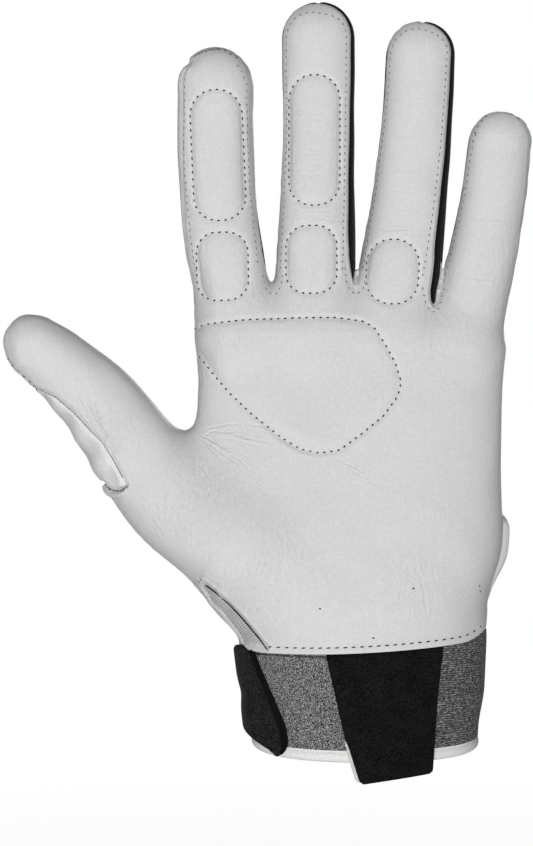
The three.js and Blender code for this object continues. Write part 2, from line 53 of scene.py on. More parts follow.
# Outer form of the worn glove, in millimetres. A stall runs from its root along a leaning, slightly
# bowed line in XZ and curls towards the palm; widths and depths hold at its root, middle and end.
ROUNDNESS = 2.3
STALLS = {
    "index": dict(root=(-38.2, 0, 122), length=85.8, lean=-4.3, bow=-2.6, sway=0, curl=5,
                  widths=(24.8, 22.8, 23.0), depths=(26, 21, 17.5)),
    "middle": dict(root=(-15.4, 0, 122), length=99.2, lean=0.72, bow=0.7, sway=0, curl=6,
                   widths=(26.4, 21.9, 22.6), depths=(27, 21.5, 17.5)),
    "ring": dict(root=(7.5, 0, 122), length=93.9, lean=5.7, bow=1.75, sway=0, curl=6,
                 widths=(26.6, 22.2, 20.6), depths=(26, 20.5, 16.5)),
    "little": dict(root=(28.2, 0, 118), length=71.8, lean=10.15, bow=1.95, sway=0, curl=5,
                   widths=(22.4, 19.8, 18.6), depths=(23, 18.5, 15)),
    "thumb": dict(root=(-41.5, -3, 60), length=91.4, lean=-45.5, bow=1.9, sway=-2.5, curl=5,
                  widths=(33.5, 25.6, 18.2), depths=(40, 24, 17.5)),
}
FINGERS = ("index", "middle", "ring", "little")
STALL_SINK = 0.16
ROOT_CAP = 0.1
U_LOW, U_HIGH = -0.3, 1.1
PALM_Z = (8, 31, 38, 45, 60, 78, 98, 117)
PALM_LEFT = (-37.5, -37.6, -42.8, -45.7, -56.5, -53, -50.2, -50.3)
PALM_RIGHT = (35.6, 36.2, 36.3, 36.7, 40.4, 40.5, 40.6, 41.6)
PALM_FRONT = (25.5, 25.5, 25.3, 25, 23, 20, 17, 14.6)
PALM_BACK = (25.5, 25.5, 25.1, 24.5, 21.5, 18.5, 16.5, 14.6)
PALM_SQUARER = 0.8
KNUCKLE_DOME = 19
KNUCKLE_SLOPE = -0.1
FINGER_BLEND = 1.8
KNUCKLE_BLEND = 5
THUMB_BLEND = 10

# Panels: seam levels are shares of the half depth, at the root, middle and tip of a stall
FRONT_SEAMS = {
    "index": ((0, -0.5, -0.55), (-0.9, -0.1, 0)),
    "middle": ((0.4, -0.1, -0.2), (-0.85, -0.62, -0.52)),
    "ring": ((0.5, -0.05, -0.15), (-0.9, -0.7, -0.55)),
    "little": ((0.5, 0.02, 0), (-0.1, -0.25, -0.45)),
    "thumb": ((0.34, -0.3, -0.36), (0.1, 0.1, 0.1)),
}
# The black fabric between the fingers ends in a wedge that runs down between their roots
WEDGES = (
    ((-5.0, 154), (-3.0, 154), (-2.4, 145.7), (-2.6, 141.3), (-3.5, 137.9), (-4.2, 141.3), (-4.9, 145.7)),
    ((21.3, 154), (22.8, 154), (22.7, 147.2), (22.4, 139.5), (21.5, 135.3), (20.9, 132.4), (20.1, 131.0),
     (19.3, 132.4), (19.1, 135.3), (19.7, 139.5), (20.5, 147.2)),
)
BACK_SEAM = 0.5
# The palm leather wraps over the index fingertip and leaves a notch above the side panel
INDEX_NOTCH_Z = 203
INDEX_TIP_WRAP = 0.8
INDEX_TIP_LINE = ((-50.6, 204.7), (-48.5, 205.7), (-46.4, 206.4), (-44.3, 206.8))
PALM_SEAM_Y = 1.5
THENAR_SEAM_RISE = 5.5
WRIST_SEAM_DROP = 6
PALM_BACK_SEAM_Y = 11
SEAM_SPREAD = 1.5
WHITE_CLOSING = 0.25
BLACK_CLOSING = 0.65
CROTCH_SHIFT = 2.5
CROTCH_SHARES = (0.36, 0.22)
CROTCH_Z = 92
CROTCH_TAPER = 24
SIDE_SEAM_X = 8.5
KNUCKLE_Z = (124, 132)
THUMB_BACK_START = 0.2
FLEX_LINE = ((-70.5, 77.0), (-71.9, 80.5), (-74.9, 86.0), (-77.9, 90.6), (-81.8, 94.4), (-86.3, 99.2),
             (-91.6, 103.6), (-97.7, 106.4))
FLEX_STEEP = 0.75
FLEX_END = (-73.9, 75.7)
FLEX_END_CURVE = 0.12
FLEX_END_REACH = 4
FLEX_BACK = 0.05
FLEX_EASE = 3.5
FLEX_PUFF = -0.15
FLEX_WAVE = 0.6
FLEX_WAVE_PITCH = 2.4
# The leather's lip where the insert ends, and the fold above it: height or depth, place and reach
FLEX_LIP = (0.9, 0.9, 0.8)
FLEX_FOLD = (2.4, 0.8)
# Back of the glove: three stitched darts from the finger crotches, and pleats over the finger joints at
# shares along each stall
DARTS = (((-27, 127), (-24, 104), (-21, 76)), ((-3.5, 130), (-4, 104), (-4.5, 72)),
         ((19.5, 126), (17, 104), (13, 78)))
DART_HEIGHT = 0.55
DART_REACH = 0.8
PLEAT_SHARES = {"index": (0.42, 0.7), "middle": (0.44, 0.71), "ring": (0.43, 0.7), "little": (0.42, 0.69)}
PLEAT_PITCH = 2.6
PLEAT_DEPTH = 0.35
PLEAT_REACH = 0.75
# Flat flanks of the thumb side: height, reach along it, depth and the x where it starts
FLANKS = ((48.5, 8, 1.9, -38), (136, 8, 1.3, -40), (116, 7, 0.9, -42))
FLANK_EASE = 4
# Low hills and hollows of the palm: middle in XZ, reach in X and Z, and height
MOUNDS = (((-33, 62), (13, 20), 0.8), ((-8, 70), (17, 26), -1.0))
# The foam puffs over the stitching at the palm pad's lower thumb side: middle, reach, more lift and groove
PAD_OVER = ((-21, 90), (8, 8), 0.7, 0.5)
# Slack at the little-finger side of the wrist, where the outer side panel puffs out beyond its seam
BULGE = 2.5
BULGE_TOP = (69.5, 64.3)
BULGE_FOOT = (40, 58)
BULGE_X = (30, 38)
UNEVEN = 0.16
NOTCH_DEPTH = 0.8
NOTCH_REACH = 1.7
THUMB_THIN = 0.8

# Wrist hem: it climbs slowly from the thumb side to the little-finger side and curls up at both ends
HEM_LOW = 29
HEM_RISE = 2.9
HEM_ENDS = (-29, 27)
HEM_CURLS = (0.011, 0.041)
HEM_LIFT = 0.5

# Ribbed vent at the thumb side of the wrist: its upper edge bows up a little, and its outer edge turns
# round the side, at depths given for the top and the foot
VENT_TOP = (-47.2, 49.3)
VENT_FOOT = (-29, 29.6)
VENT_BOW = 0.8
VENT_WIDTHS = (3.4, 5.6)
VENT_ROUND_TOP = 0.04
VENT_ROUND_FOOT = 0.84
VENT_SIDE_Y = (-15, -9)
VENT_SIDE_TURN = 2.2
VENT_ABOVE_HEM = 1.3
VENT_LINE_RISE = (0.75, 0.3)
RIB_PITCH = 0.7
RIB_HEIGHT = 0.25

# Quilted pads: middle, width, height, corner radius and tilt in degrees
PADS = {
    "index_tip": ((-43.9, 174.9), 15.4, 38.4, 7.2, -2.5),
    "index_base": ((-42.6, 142.2), 15.3, 20.1, 6, -1),
    "middle_tip": ((-15.4, 179.3), 15.0, 38.3, 7, 0),
    "middle_base": ((-16.3, 144.2), 15.0, 20.0, 6, 0),
    "ring_base": ((7.7, 140.6), 15.3, 19.1, 7, 3),
}
PALM_PAD = ((-49.2, 121.0), (-47.0, 121.7), (-35.0, 122.9), (-20.5, 123.4), (-9.5, 123.5), (-2.5, 122.6),
            (-0.6, 121.6), (2.3, 117.2), (5.0, 112.2), (6.3, 108.0), (5.7, 105.4), (2.2, 100.6), (-3.6, 95.8),
            (-9.6, 91.4), (-14.0, 90.8), (-18.4, 91.7), (-23.2, 94.6), (-31.9, 101.5), (-37.9, 107.2),
            (-43.2, 113.4))
PALM_PAD_ROUND = 3.5
PAD_LIFT = 0.35
PAD_EDGE = 4
PAD_GROOVE = 0.42
PAD_GROOVE_WIDTH = 0.75

# Making of the form: skin thickness, voxel, width of the rough rods, lower end, and how near to a detail the
# faces are made finer
SKIN = 1.0
VOXEL = 1.75
ROUGH_WIDTH = 0.78
FORM_LOW = 20
QUILT_FINE = 1.4
SEAM_FINE = 2
FOLD_FINE = 8
VENT_FINE = 1.2
CREASE_FINE = 0.8
SETTLE_STEP = 0.05
SETTLE_REACH = 2.0
FAR = 99.0


def bend(values, u):
    """The quadratic through three values at u = 0, 1/2 and 1."""
    first, half, last = values
    return first * (1 - u) * (1 - 2 * u) + half * 4 * u * (1 - u) + last * u * (2 * u - 1)


def smooth(low, high, value):
    share = np.clip((value - low) / (high - low), 0, 1)
    return share * share * (3 - 2 * share)


def bell(value, reach):
    """1 at zero, falling away over a reach."""
    return np.exp(-(value / reach) ** 2)


def hill(x, z, middle, reach):
    return np.exp(-((x - middle[0]) / reach[0]) ** 2 - ((z - middle[1]) / reach[1]) ** 2)

def track(values, at):
    """A smooth curve through values at 0, 1, 2 ..."""
    values = np.asarray(values, float)
    i = np.clip(np.floor(at).astype(int), 0, len(values) - 2)
    f = np.clip(at - i, 0, 1)
    padded = np.concatenate([[values[0]], values, [values[-1]]])
    slope = (padded[2:] - padded[:-2]) / 2
    rise = values[i + 1] - values[i]
    return (values[i] + slope[i] * f + (3 * rise - 2 * slope[i] - slope[i + 1]) * f ** 2
            + (slope[i] + slope[i + 1] - 2 * rise) * f ** 3)


def stall_frame(stall, u):
    """Centre of a stall at u and its direction in XZ."""
    lean = math.radians(stall["lean"])
    run = np.array([math.sin(lean), math.cos(lean)])
    side = np.array([math.cos(lean), -math.sin(lean)])
    aside = stall["bow"] * np.sin(math.pi * u) + stall["sway"] * np.sin(2 * math.pi * u)
    slope = (stall["bow"] * math.pi * np.cos(math.pi * u)
             + stall["sway"] * 2 * math.pi * np.cos(2 * math.pi * u)) / stall["length"]
    x = stall["root"][0] + stall["length"] * u * run[0] + aside * side[0]
    z = stall["root"][2] + stall["length"] * u * run[1] + aside * side[1]
    y = stall["root"][1] - stall["curl"] * u * u
    along = run[None, :] + slope[:, None] * side[None, :]
    along /= np.linalg.norm(along, axis=1)[:, None]
    return x, y, z, along


def stall_point(stall, u, across, through):
    x, y, z, along = stall_frame(stall, u)
    return np.stack([x + across * along[:, 1], y + through, z - across * along[:, 0]], 1)


def cap_distance(s, t, q, half_width, depth, cap, power=ROUNDNESS):
    """Rough distance to a superellipse section with a rounded end: s, t and q are shares of its sizes."""
    section = (s ** power + t ** power) ** (1 / power)
    whole = np.maximum(np.sqrt(section * section + q * q), 1e-6)
    ratio = np.maximum(section, 1e-6)
    gx = section / whole * (s / ratio) ** (power - 1) / half_width
    gy = section / whole * (t / ratio) ** (power - 1) / depth
    gq = q / whole / cap
    return (whole - 1) / np.maximum(np.sqrt(gx * gx + gy * gy + gq * gq), 1e-3)


def stall_place(stall, p):
    """Where points lie on a stall: share along it, across, through, half sizes and rough distance."""
    lean = math.radians(stall["lean"])
    u = ((p[:, 0] - stall["root"][0]) * math.sin(lean)
         + (p[:, 2] - stall["root"][2]) * math.cos(lean)) / stall["length"]
    for _ in range(2):
        held = np.clip(u, U_LOW, U_HIGH)
        x, y, z, along = stall_frame(stall, held)
        u = held + ((p[:, 0] - x) * along[:, 0] + (p[:, 2] - z) * along[:, 1]) / stall["length"]
    x, y, z, along = stall_frame(stall, np.clip(u, U_LOW, U_HIGH))
    across = (p[:, 0] - x) * along[:, 1] - (p[:, 2] - z) * along[:, 0]
    through = p[:, 1] - y
    size = np.clip(u, 0, 1)
    half_width = bend(stall["widths"], size) / 2
    half_depth = bend(stall["depths"], size) / 2
    tip = stall["widths"][2] / 2 / stall["length"]
    over_tip = np.maximum(u - (1 - tip), 0) / tip
    under_root = np.maximum(-STALL_SINK + ROOT_CAP - u, 0) / ROOT_CAP
    cap = np.where(over_tip > 0, tip, ROOT_CAP) * stall["length"]
    distance = cap_distance(np.abs(across) / half_width, np.abs(through) / half_depth,
                            over_tip + under_root, half_width, half_depth, cap)
    return dict(u=u, across=across, through=through, half_width=half_width, half_depth=half_depth,
                distance=distance)


def palm_sizes(z):
    at = np.interp(z, PALM_Z, np.arange(len(PALM_Z)))
    return [track(values, at) for values in (PALM_LEFT, PALM_RIGHT, PALM_FRONT, PALM_BACK)]


def palm_distance(p):
    x, y, z = p.T
    left, right, front, back = palm_sizes(z)
    half_width = (right - left) / 2
    depth = np.where(y < 0, front, back)
    dome = KNUCKLE_DOME + KNUCKLE_SLOPE * x
    return cap_distance(np.abs(x - (left + right) / 2) / half_width, np.abs(y) / depth,
                        np.maximum(z - PALM_Z[-1], 0) / dome, half_width, depth, dome,
                        ROUNDNESS + PALM_SQUARER * smooth(33, 62, z))


def soft_min(a, b, width):
    h = np.maximum(width - np.abs(a - b), 0) / width
    return np.minimum(a, b) - h * h * width / 4


def glove_field(p):
    """Rough distance to the outer form: below zero inside it."""
    fingers = stall_place(STALLS["index"], p)["distance"]
    for name in FINGERS[1:]:
        fingers = soft_min(fingers, stall_place(STALLS[name], p)["distance"], FINGER_BLEND)
    hand = soft_min(palm_distance(p), fingers, KNUCKLE_BLEND)
    return soft_min(hand, stall_place(STALLS["thumb"], p)["distance"], THUMB_BLEND)


def settle(p, rounds):
    """Moves points onto the outer form, and gives its outward normals there."""
    for _ in range(rounds):
        level = glove_field(p)
        steps = SETTLE_STEP * np.eye(3)
        slope = np.stack([(glove_field(p + step) - level) / SETTLE_STEP for step in steps], 1)
        steep = np.maximum((slope ** 2).sum(1), 0.05)
        p = p - slope * np.clip(level / steep, -SETTLE_REACH, SETTLE_REACH)[:, None]
    return p, slope / np.linalg.norm(slope, axis=1)[:, None]


def read_points(obj):
    co = np.empty(len(obj.data.vertices) * 3, np.float32)
    obj.data.vertices.foreach_get("co", co)
    return co.reshape(-1, 3).astype(float) / MM


def write_points(obj, p):
    obj.data.vertices.foreach_set("co", (p * MM).astype(np.float32).ravel())
    obj.data.update()


def face_middles(obj):
    middles = np.empty(len(obj.data.polygons) * 3, np.float32)
    obj.data.polygons.foreach_get("center", middles)
    return middles.reshape(-1, 3).astype(float) / MM


def only(obj):
    """Makes one object the only selected and the active one."""
    bpy.ops.object.select_all(action="DESELECT")
    obj.select_set(True)
    bpy.context.view_layer.objects.active = obj


def edit(obj, *steps):
    """Runs operators with their settings on a whole mesh in edit mode."""
    only(obj)
    bpy.ops.object.mode_set(mode="EDIT")
    bpy.ops.mesh.select_all(action="SELECT")
    for operator, settings in steps:
        operator(**settings)
    bpy.ops.object.mode_set(mode="OBJECT")


def named(name):
    obj = bpy.context.object
    obj.name = name
    obj.data.name = name
    return obj


def ball(name, segments, rings):
    bpy.ops.object.select_all(action="DESELECT")
    bpy.ops.mesh.primitive_uv_sphere_add(segments=segments, ring_count=rings, radius=1)
    return named(name)


def swollen(unit):
    """Turns a unit ball's points into a blunt rod's: share along it and the two cross shares."""
    height = unit[:, 2]
    ring = np.hypot(unit[:, 0], unit[:, 1])
    fill = np.sqrt(np.maximum(1 - height ** 6, 0)) / np.maximum(ring, 1e-9)
    return (height + 1) / 2, unit[:, 0] * fill, unit[:, 1] * fill


def glove_form():
    """The whole outer form as one even mesh: rough rods and a palm, joined, remeshed and settled."""
    rods = []
    for stall in STALLS.values():
        rod = ball("rod", 40, 24)
        share, across, through = swollen(read_points(rod) * MM)
        u = -STALL_SINK + (1 + STALL_SINK) * share
        size = np.clip(u, 0, 1)
        write_points(rod, stall_point(stall, u, across * ROUGH_WIDTH * bend(stall["widths"], size) / 2,
                                      through * bend(stall["depths"], size) / 2))
        rods.append(rod)
    palm = ball("glove_form", 64, 40)
    share, across, through = swollen(read_points(palm) * MM)
    z = PALM_Z[0] + (PALM_Z[-1] + KNUCKLE_DOME - PALM_Z[0]) * share
    left, right, front, back = palm_sizes(z)
    write_points(palm, np.stack([(left + right) / 2 + across * (right - left) / 2,
                                 through * np.where(through < 0, front, back), z], 1))
    for rod in rods:
        rod.select_set(True)
    bpy.ops.object.join()
    palm.data.remesh_voxel_size = VOXEL * MM
    bpy.ops.object.voxel_remesh()
    edit(palm, (bpy.ops.mesh.bisect,
                dict(plane_co=(0, 0, FORM_LOW * MM), plane_no=(0, 0, 1), clear_inner=True)))
    for smoothings, settlings in ((4, 4), *[(2, 1)] * 5):
        edit(palm, (bpy.ops.mesh.vertices_smooth, dict(factor=0.5, repeat=smoothings)))
        write_points(palm, settle(read_points(palm), settlings)[0])
    refine(palm, lambda p: np.ones(len(p), bool))
    write_points(palm, settle(read_points(palm), 2)[0])
    refine(palm, fine_place)
    for _ in range(2):
        refine(palm, lambda p: vent_level(p) < VENT_FINE)
    refine(palm, lambda p: crease_gap(p) < CREASE_FINE)
    return palm


def refine(obj, where):
    """Subdivides the faces whose middles satisfy a test."""
    chosen = where(face_middles(obj))
    only(obj)
    bpy.ops.object.mode_set(mode="EDIT")
    bpy.ops.mesh.select_mode(type="FACE")
    bpy.ops.mesh.select_all(action="DESELECT")
    bpy.ops.object.mode_set(mode="OBJECT")
    obj.data.polygons.foreach_set("select", chosen)
    bpy.ops.object.mode_set(mode="EDIT")
    bpy.ops.mesh.subdivide(number_cuts=1)
    bpy.ops.object.mode_set(mode="OBJECT")


def segment_gap(x, z, start, end):
    """Distance in XZ to a straight piece of line."""
    (ax, az), (ex, ez) = start, np.subtract(end, start)
    share = np.clip(((x - ax) * ex + (z - az) * ez) / (ex * ex + ez * ez), 0, 1)
    return np.hypot(x - ax - share * ex, z - az - share * ez)


def polygon_distance(corners, x, z):
    """Signed distance in XZ to a polygon: below zero inside it."""
    near = np.full(len(x), 1e9)
    inside = np.zeros(len(x), bool)
    for (ax, az), (bx, bz) in zip(corners, corners[1:] + corners[:1]):
        near = np.minimum(near, segment_gap(x, z, (ax, az), (bx, bz)))
        if bz != az:
            inside ^= ((az > z) != (bz > z)) & (x < ax + (bx - ax) * (z - az) / (bz - az))
    return np.where(inside, -near, near)


def pad_core(name):
    """Corners of a pad's outline, pulled in by its corner radius, and that radius."""
    if name == "palm":
        return list(PALM_PAD), PALM_PAD_ROUND
    (x, z), width, height, radius, tilt = PADS[name]
    turn = math.radians(tilt)
    half_width, half_height = width / 2 - radius, height / 2 - radius
    return [(x + a * half_width * math.cos(turn) + b * half_height * math.sin(turn),
             z - a * half_width * math.sin(turn) + b * half_height * math.cos(turn))
            for a, b in ((-1, 1), (1, 1), (1, -1), (-1, -1))], radius


PAD_NAMES = (*PADS, "palm")


def pad_distance(name, x, z):
    core, radius = pad_core(name)
    return polygon_distance(core, x, z) - radius


def fine_place(p):
    """Where the form needs finer faces: along quilting, creases, vent, wedges and darts, and at the folds."""
    x, y, z = p.T
    near = np.min([np.abs(pad_distance(name, x, z)) for name in PAD_NAMES], 0)
    bulge = (x > 28) & (z > 34) & (z < 72)
    notch = (x < -42) & (z > 198)
    fold = np.hypot(x - FLEX_END[0], z - FLEX_END[1]) < FOLD_FINE
    seams = np.min([wedge_level(p), dart_gap(p), vent_level(p)], 0) < SEAM_FINE
    return ((near < QUILT_FINE) & (y < 0)) | bulge | notch | fold | seams | (crease_gap(p) < QUILT_FINE)


def dart_gap(p):
    """Distance in XZ to the nearest dart, for points on the back."""
    pieces = [piece for dart in DARTS for piece in zip(dart, dart[1:])]
    near = np.min([segment_gap(p[:, 0], p[:, 2], *piece) for piece in pieces], 0)
    return np.where(p[:, 1] > 0, near, FAR)


def wedge_level(p):
    """Distance in XZ to the black wedges between the finger roots: below zero in them."""
    near = np.min([polygon_distance(list(wedge), p[:, 0], p[:, 2]) for wedge in WEDGES], 0)
    return np.maximum(near, p[:, 1])


def hem_height(x):
    """Height of the wrist hem."""
    left, right = HEM_ENDS
    curl = HEM_CURLS[0] * np.maximum(left - x, 0) ** 2 + HEM_CURLS[1] * np.maximum(x - right, 0) ** 2
    return HEM_LOW + HEM_RISE * np.maximum((x - left) / (right - left), 0) ** 2 + curl


def vent_place(p):
    """Share along the vent from its top, and how far below its upper edge."""
    run = np.array([VENT_FOOT[0] - VENT_TOP[0], VENT_FOOT[1] - VENT_TOP[1]])
    length = math.hypot(*run)
    run = run / length
    dx, dz = p[:, 0] - VENT_TOP[0], p[:, 2] - VENT_TOP[1]
    share = (dx * run[0] + dz * run[1]) / length
    bow = VENT_BOW * np.sin(math.pi * np.clip(share, 0, 1))
    return share, dx * run[1] - dz * run[0] + bow, length


def vent_edge():
    """Places along the vent's upper edge."""
    top, foot = np.array(VENT_TOP), np.array(VENT_FOOT)
    run = (foot - top) / np.linalg.norm(foot - top)
    share = np.linspace(0, 1, 30)[:, None]
    return top + share * (foot - top) - VENT_BOW * np.sin(math.pi * share) * np.array([run[1], -run[0]])


def vent_level(p):
    """Rough distance to the vent: below zero in it."""
    share, below, length = vent_place(p)
    inside = np.clip(share, 0, 1)
    start, end = VENT_WIDTHS
    width = start + (end - start) * inside
    width = width * np.clip(inside / VENT_ROUND_TOP, 0, 1) ** 0.5 * smooth(1, VENT_ROUND_FOOT, inside) ** 0.5
    ends = (np.abs(share - 0.5) - 0.5) * length
    hem = hem_height(p[:, 0]) + VENT_ABOVE_HEM - p[:, 2]
    near, far = VENT_SIDE_Y
    side = p[:, 1] - far - (near - far) * (1 - inside) ** VENT_SIDE_TURN
    return np.maximum.reduce([below - width, -below, ends, hem, side])


def flex_end(x):
    """Height of the line where the flex insert ends: a shallow hollow."""
    return FLEX_END[1] + FLEX_END_CURVE * np.clip(x - FLEX_END[0], -FLEX_END_REACH, FLEX_END_REACH) ** 2


def panel_levels(p):
    """One level per panel border: a panel lies where its level is below zero."""
    x, y, z = p.T
    places = {name: stall_place(stall, p) for name, stall in STALLS.items()}
    palm = palm_distance(p)
    heights, backs, near = [], [], []
    for name, place in places.items():
        left, right = FRONT_SEAMS[name]
        u = np.clip(place["u"], 0, 1)
        side = smooth(-0.9, 0.9, place["across"] / place["half_width"])
        level = bend(left, u) * (1 - side) + bend(right, u) * side
        if name == "index":
            level += INDEX_TIP_WRAP * smooth(INDEX_NOTCH_Z - 1.2, INDEX_NOTCH_Z + 2.2, z) * (1 - side)
        middle = y - place["through"]
        heights.append(middle + level * place["half_depth"])
        # The strips at the sides of the index and little fingers end in points at the fingertips, the black
        # ones sooner than the white
        closing = 0
        if name in ("index", "little"):
            tip = STALLS[name]["widths"][2] / 2 / STALLS[name]["length"]
            black = side if name == "index" else 1 - side
            closing = smooth(1 - (WHITE_CLOSING + BLACK_CLOSING * black) * tip, 1, place["u"])
        backs.append(middle + (BACK_SEAM + (level - BACK_SEAM) * closing) * place["half_depth"])
        # At the roots a finger's leather reaches into the crotch at its right from the next finger
        shared = CROTCH_SHIFT * side * smooth(*CROTCH_SHARES, u) if name in FINGERS[:3] else 0
        near.append(place["distance"] + shared)
    thenar = smooth(-20, -38, x) * smooth(94, 76, z) * smooth(28, 60, z)
    wrist = smooth(24, 36, x) * smooth(71, 66, z) * smooth(34, 46, z)
    heights.append(PALM_SEAM_Y + THENAR_SEAM_RISE * thenar - WRIST_SEAM_DROP * wrist)
    backs.append(np.full(len(p), PALM_BACK_SEAM_Y, float))
    near.append(palm)
    weight = np.exp(-(np.array(near) - np.min(near, 0)) / SEAM_SPREAD)
    weight /= weight.sum(0)
    front = np.maximum(y - (weight * heights).sum(0), -wedge_level(p))
    back = y - (weight * backs).sum(0)
    thumb = places["thumb"]
    flex_x, flex_z = zip(*FLEX_LINE)
    flex = np.maximum.reduce([(x - np.interp(z, flex_z, flex_x)) * FLEX_STEEP,
                              thumb["through"] - FLEX_BACK * thumb["half_depth"],
                              flex_end(x) - z, z - flex_z[-1]])
    left, right, _, _ = palm_sizes(z)
    above = smooth(*KNUCKLE_Z, z)
    index_side = places["index"]["across"] * above + (x - left - SIDE_SEAM_X) * (1 - above)
    little_side = -places["little"]["across"] * above + (right - SIDE_SEAM_X - x) * (1 - above)
    # The index side panel narrows to a point at the thumb crotch
    taper = (PALM_BACK_SEAM_Y - PALM_SEAM_Y) * smooth(CROTCH_Z + CROTCH_TAPER, CROTCH_Z, z)
    fingers = np.min([places[name]["distance"] for name in FINGERS], 0)
    thumb_back = np.maximum((THUMB_BACK_START - thumb["u"]) * STALLS["thumb"]["length"],
                            thumb["distance"] - np.minimum(palm, fingers))
    levels = dict(hem=hem_height(x) - z, flex=flex, vent=vent_level(p), palm=front, thumb_back=thumb_back,
                  index_side=np.maximum.reduce([back + taper, index_side, CROTCH_Z - z]),
                  little_side=np.maximum(back, little_side))
    for one, two in zip(FINGERS, FINGERS[1:]):
        levels[one + "_" + two] = np.maximum.reduce([back, -places[one]["across"], places[two]["across"]])
    return levels


# Creases in the leather, as start, middle and end in XZ, depth and half width
CREASES = (
    # from the thumb crotch across the palm
    ((-48.1, 91.9), (-44.9, 93.7), (-41.4, 93.4), 0.4, 0.42),
    ((-44.9, 93.7), (-42.0, 93.2), (-38.2, 93.6), 0.5, 0.38),
    ((-39.9, 92.9), (-36.4, 91.9), (-33.2, 91.0), 0.45, 0.4),
    ((-33.8, 91.5), (-30.6, 90.7), (-26.8, 89.9), 0.25, 0.45),
    ((-47.8, 93.7), (-42.6, 95.3), (-35.0, 95.6), 0.28, 0.5),
    ((-35.5, 95.7), (-30.9, 95.1), (-25.3, 93.1), 0.24, 0.5),
    ((-42.6, 91.6), (-37.3, 90.7), (-32.0, 89.3), 0.2, 0.5),
    # from the thumb crotch down into the palm
    ((-48.4, 92.2), (-45.2, 90.6), (-42.6, 89.1), 0.6, 0.4),
    ((-43.4, 89.6), (-41.1, 88.2), (-39.1, 87.4), 0.5, 0.36),
    ((-48.1, 90.7), (-44.9, 88.7), (-41.4, 85.8), 0.35, 0.45),
    ((-42.0, 86.9), (-39.1, 84.9), (-36.7, 82.5), 0.3, 0.45),
    ((-39.6, 86.6), (-36.4, 84.3), (-34.1, 81.7), 0.32, 0.42),
    ((-35.0, 82.8), (-33.2, 80.2), (-30.9, 77.6), 0.26, 0.45),
    ((-47.2, 89.3), (-44.6, 87.2), (-42.6, 84.9), 0.25, 0.45),
    ((-37.9, 87.5), (-35.2, 86.1), (-33.2, 84.0), 0.2, 0.45),
    ((-48.7, 89.0), (-48.1, 84.6), (-46.7, 79.9), 0.14, 0.7),
    ((-46.7, 86.6), (-46.1, 82.3), (-45.5, 77.9), 0.14, 0.7),
    ((-50.2, 88.1), (-50.5, 83.7), (-49.9, 78.7), 0.14, 0.7),
    # below the palm pad
    ((-11.0, 86.2), (-5.5, 84.0), (0.6, 80.7), 0.24, 0.5),
    ((-8.0, 83.8), (-2.5, 81.0), (3.4, 77.4), 0.14, 0.55),
    # at the finger joints
    ((-52.4, 154.4), (-48.8, 153.4), (-42.6, 153.9), 0.26, 0.45),
    ((-47.5, 152.7), (-41.7, 153.2), (-34.6, 152.4), 0.26, 0.45),
    ((-51.0, 156.6), (-46.0, 156.0), (-40.0, 156.8), 0.16, 0.45),
    ((-24.7, 157.3), (-18.2, 156.4), (-12.4, 157.3), 0.26, 0.45),
    ((-19.7, 155.5), (-13.3, 156.1), (-6.5, 155.2), 0.26, 0.45),
    ((-22.0, 159.0), (-15.0, 158.4), (-9.0, 159.2), 0.16, 0.45),
    ((4.0, 153.6), (9.0, 152.8), (15.0, 153.6), 0.22, 0.45),
    ((10.0, 152.0), (15.0, 151.6), (21.0, 152.6), 0.2, 0.45),
    ((6.5, 171.0), (13.5, 170.2), (21.5, 171.2), 0.16, 0.5),
    ((28.0, 139.6), (34.0, 138.4), (41.0, 138.0), 0.2, 0.5),
    ((30.0, 157.0), (36.0, 156.0), (43.0, 156.0), 0.2, 0.5),
    # fine wrinkles across the pads of the middle and ring fingers
    ((-21.0, 187.0), (-16.0, 187.3), (-11.5, 186.9), 0.09, 0.5),
    ((-20.5, 177.4), (-16.0, 176.8), (-11.6, 177.3), 0.11, 0.5),
    ((-21.2, 174.8), (-16.5, 175.3), (-12.2, 174.8), 0.11, 0.5),
    ((-20.2, 172.2), (-15.8, 171.8), (-11.2, 172.3), 0.1, 0.5),
    ((-20.8, 169.4), (-16.4, 169.0), (-12.0, 169.6), 0.09, 0.5),
    ((7.1, 181.1), (10.5, 180.6), (14.4, 180.3), 0.1, 0.45),
    ((5.8, 164.9), (11.0, 164.2), (17.3, 163.2), 0.12, 0.5),
    ((5.6, 161.5), (10.0, 161.0), (15.4, 161.6), 0.1, 0.5),
    # fine steep cracks beside the flex insert
    ((-86.7, 104.2), (-84.9, 99.8), (-82.6, 95.7), 0.46, 0.36),
    ((-84.9, 104.8), (-82.6, 99.5), (-79.9, 94.5), 0.5, 0.36),
    ((-82.6, 103.9), (-80.5, 99.2), (-78.2, 93.9), 0.5, 0.36),
    ((-80.5, 102.8), (-78.8, 98.1), (-76.4, 92.2), 0.52, 0.36),
    ((-79.1, 99.8), (-77.6, 95.7), (-75.8, 90.4), 0.48, 0.36),
    ((-83.2, 99.2), (-81.1, 95.7), (-79.1, 92.2), 0.42, 0.36),
    ((-77.3, 95.4), (-75.8, 91.0), (-74.7, 86.6), 0.42, 0.4),
    ((-76.0, 94.0), (-74.2, 89.4), (-72.6, 84.4), 0.36, 0.4),
    ((-73.8, 96.5), (-72.6, 92.0), (-71.4, 87.0), 0.3, 0.4),
)
CREASE_STEPS = 16
CREASE_NARROW = 0.62
CREASE_LIP = 0.22
CREASE_WANDER = 0.22
CREASE_BACK_Y = 3


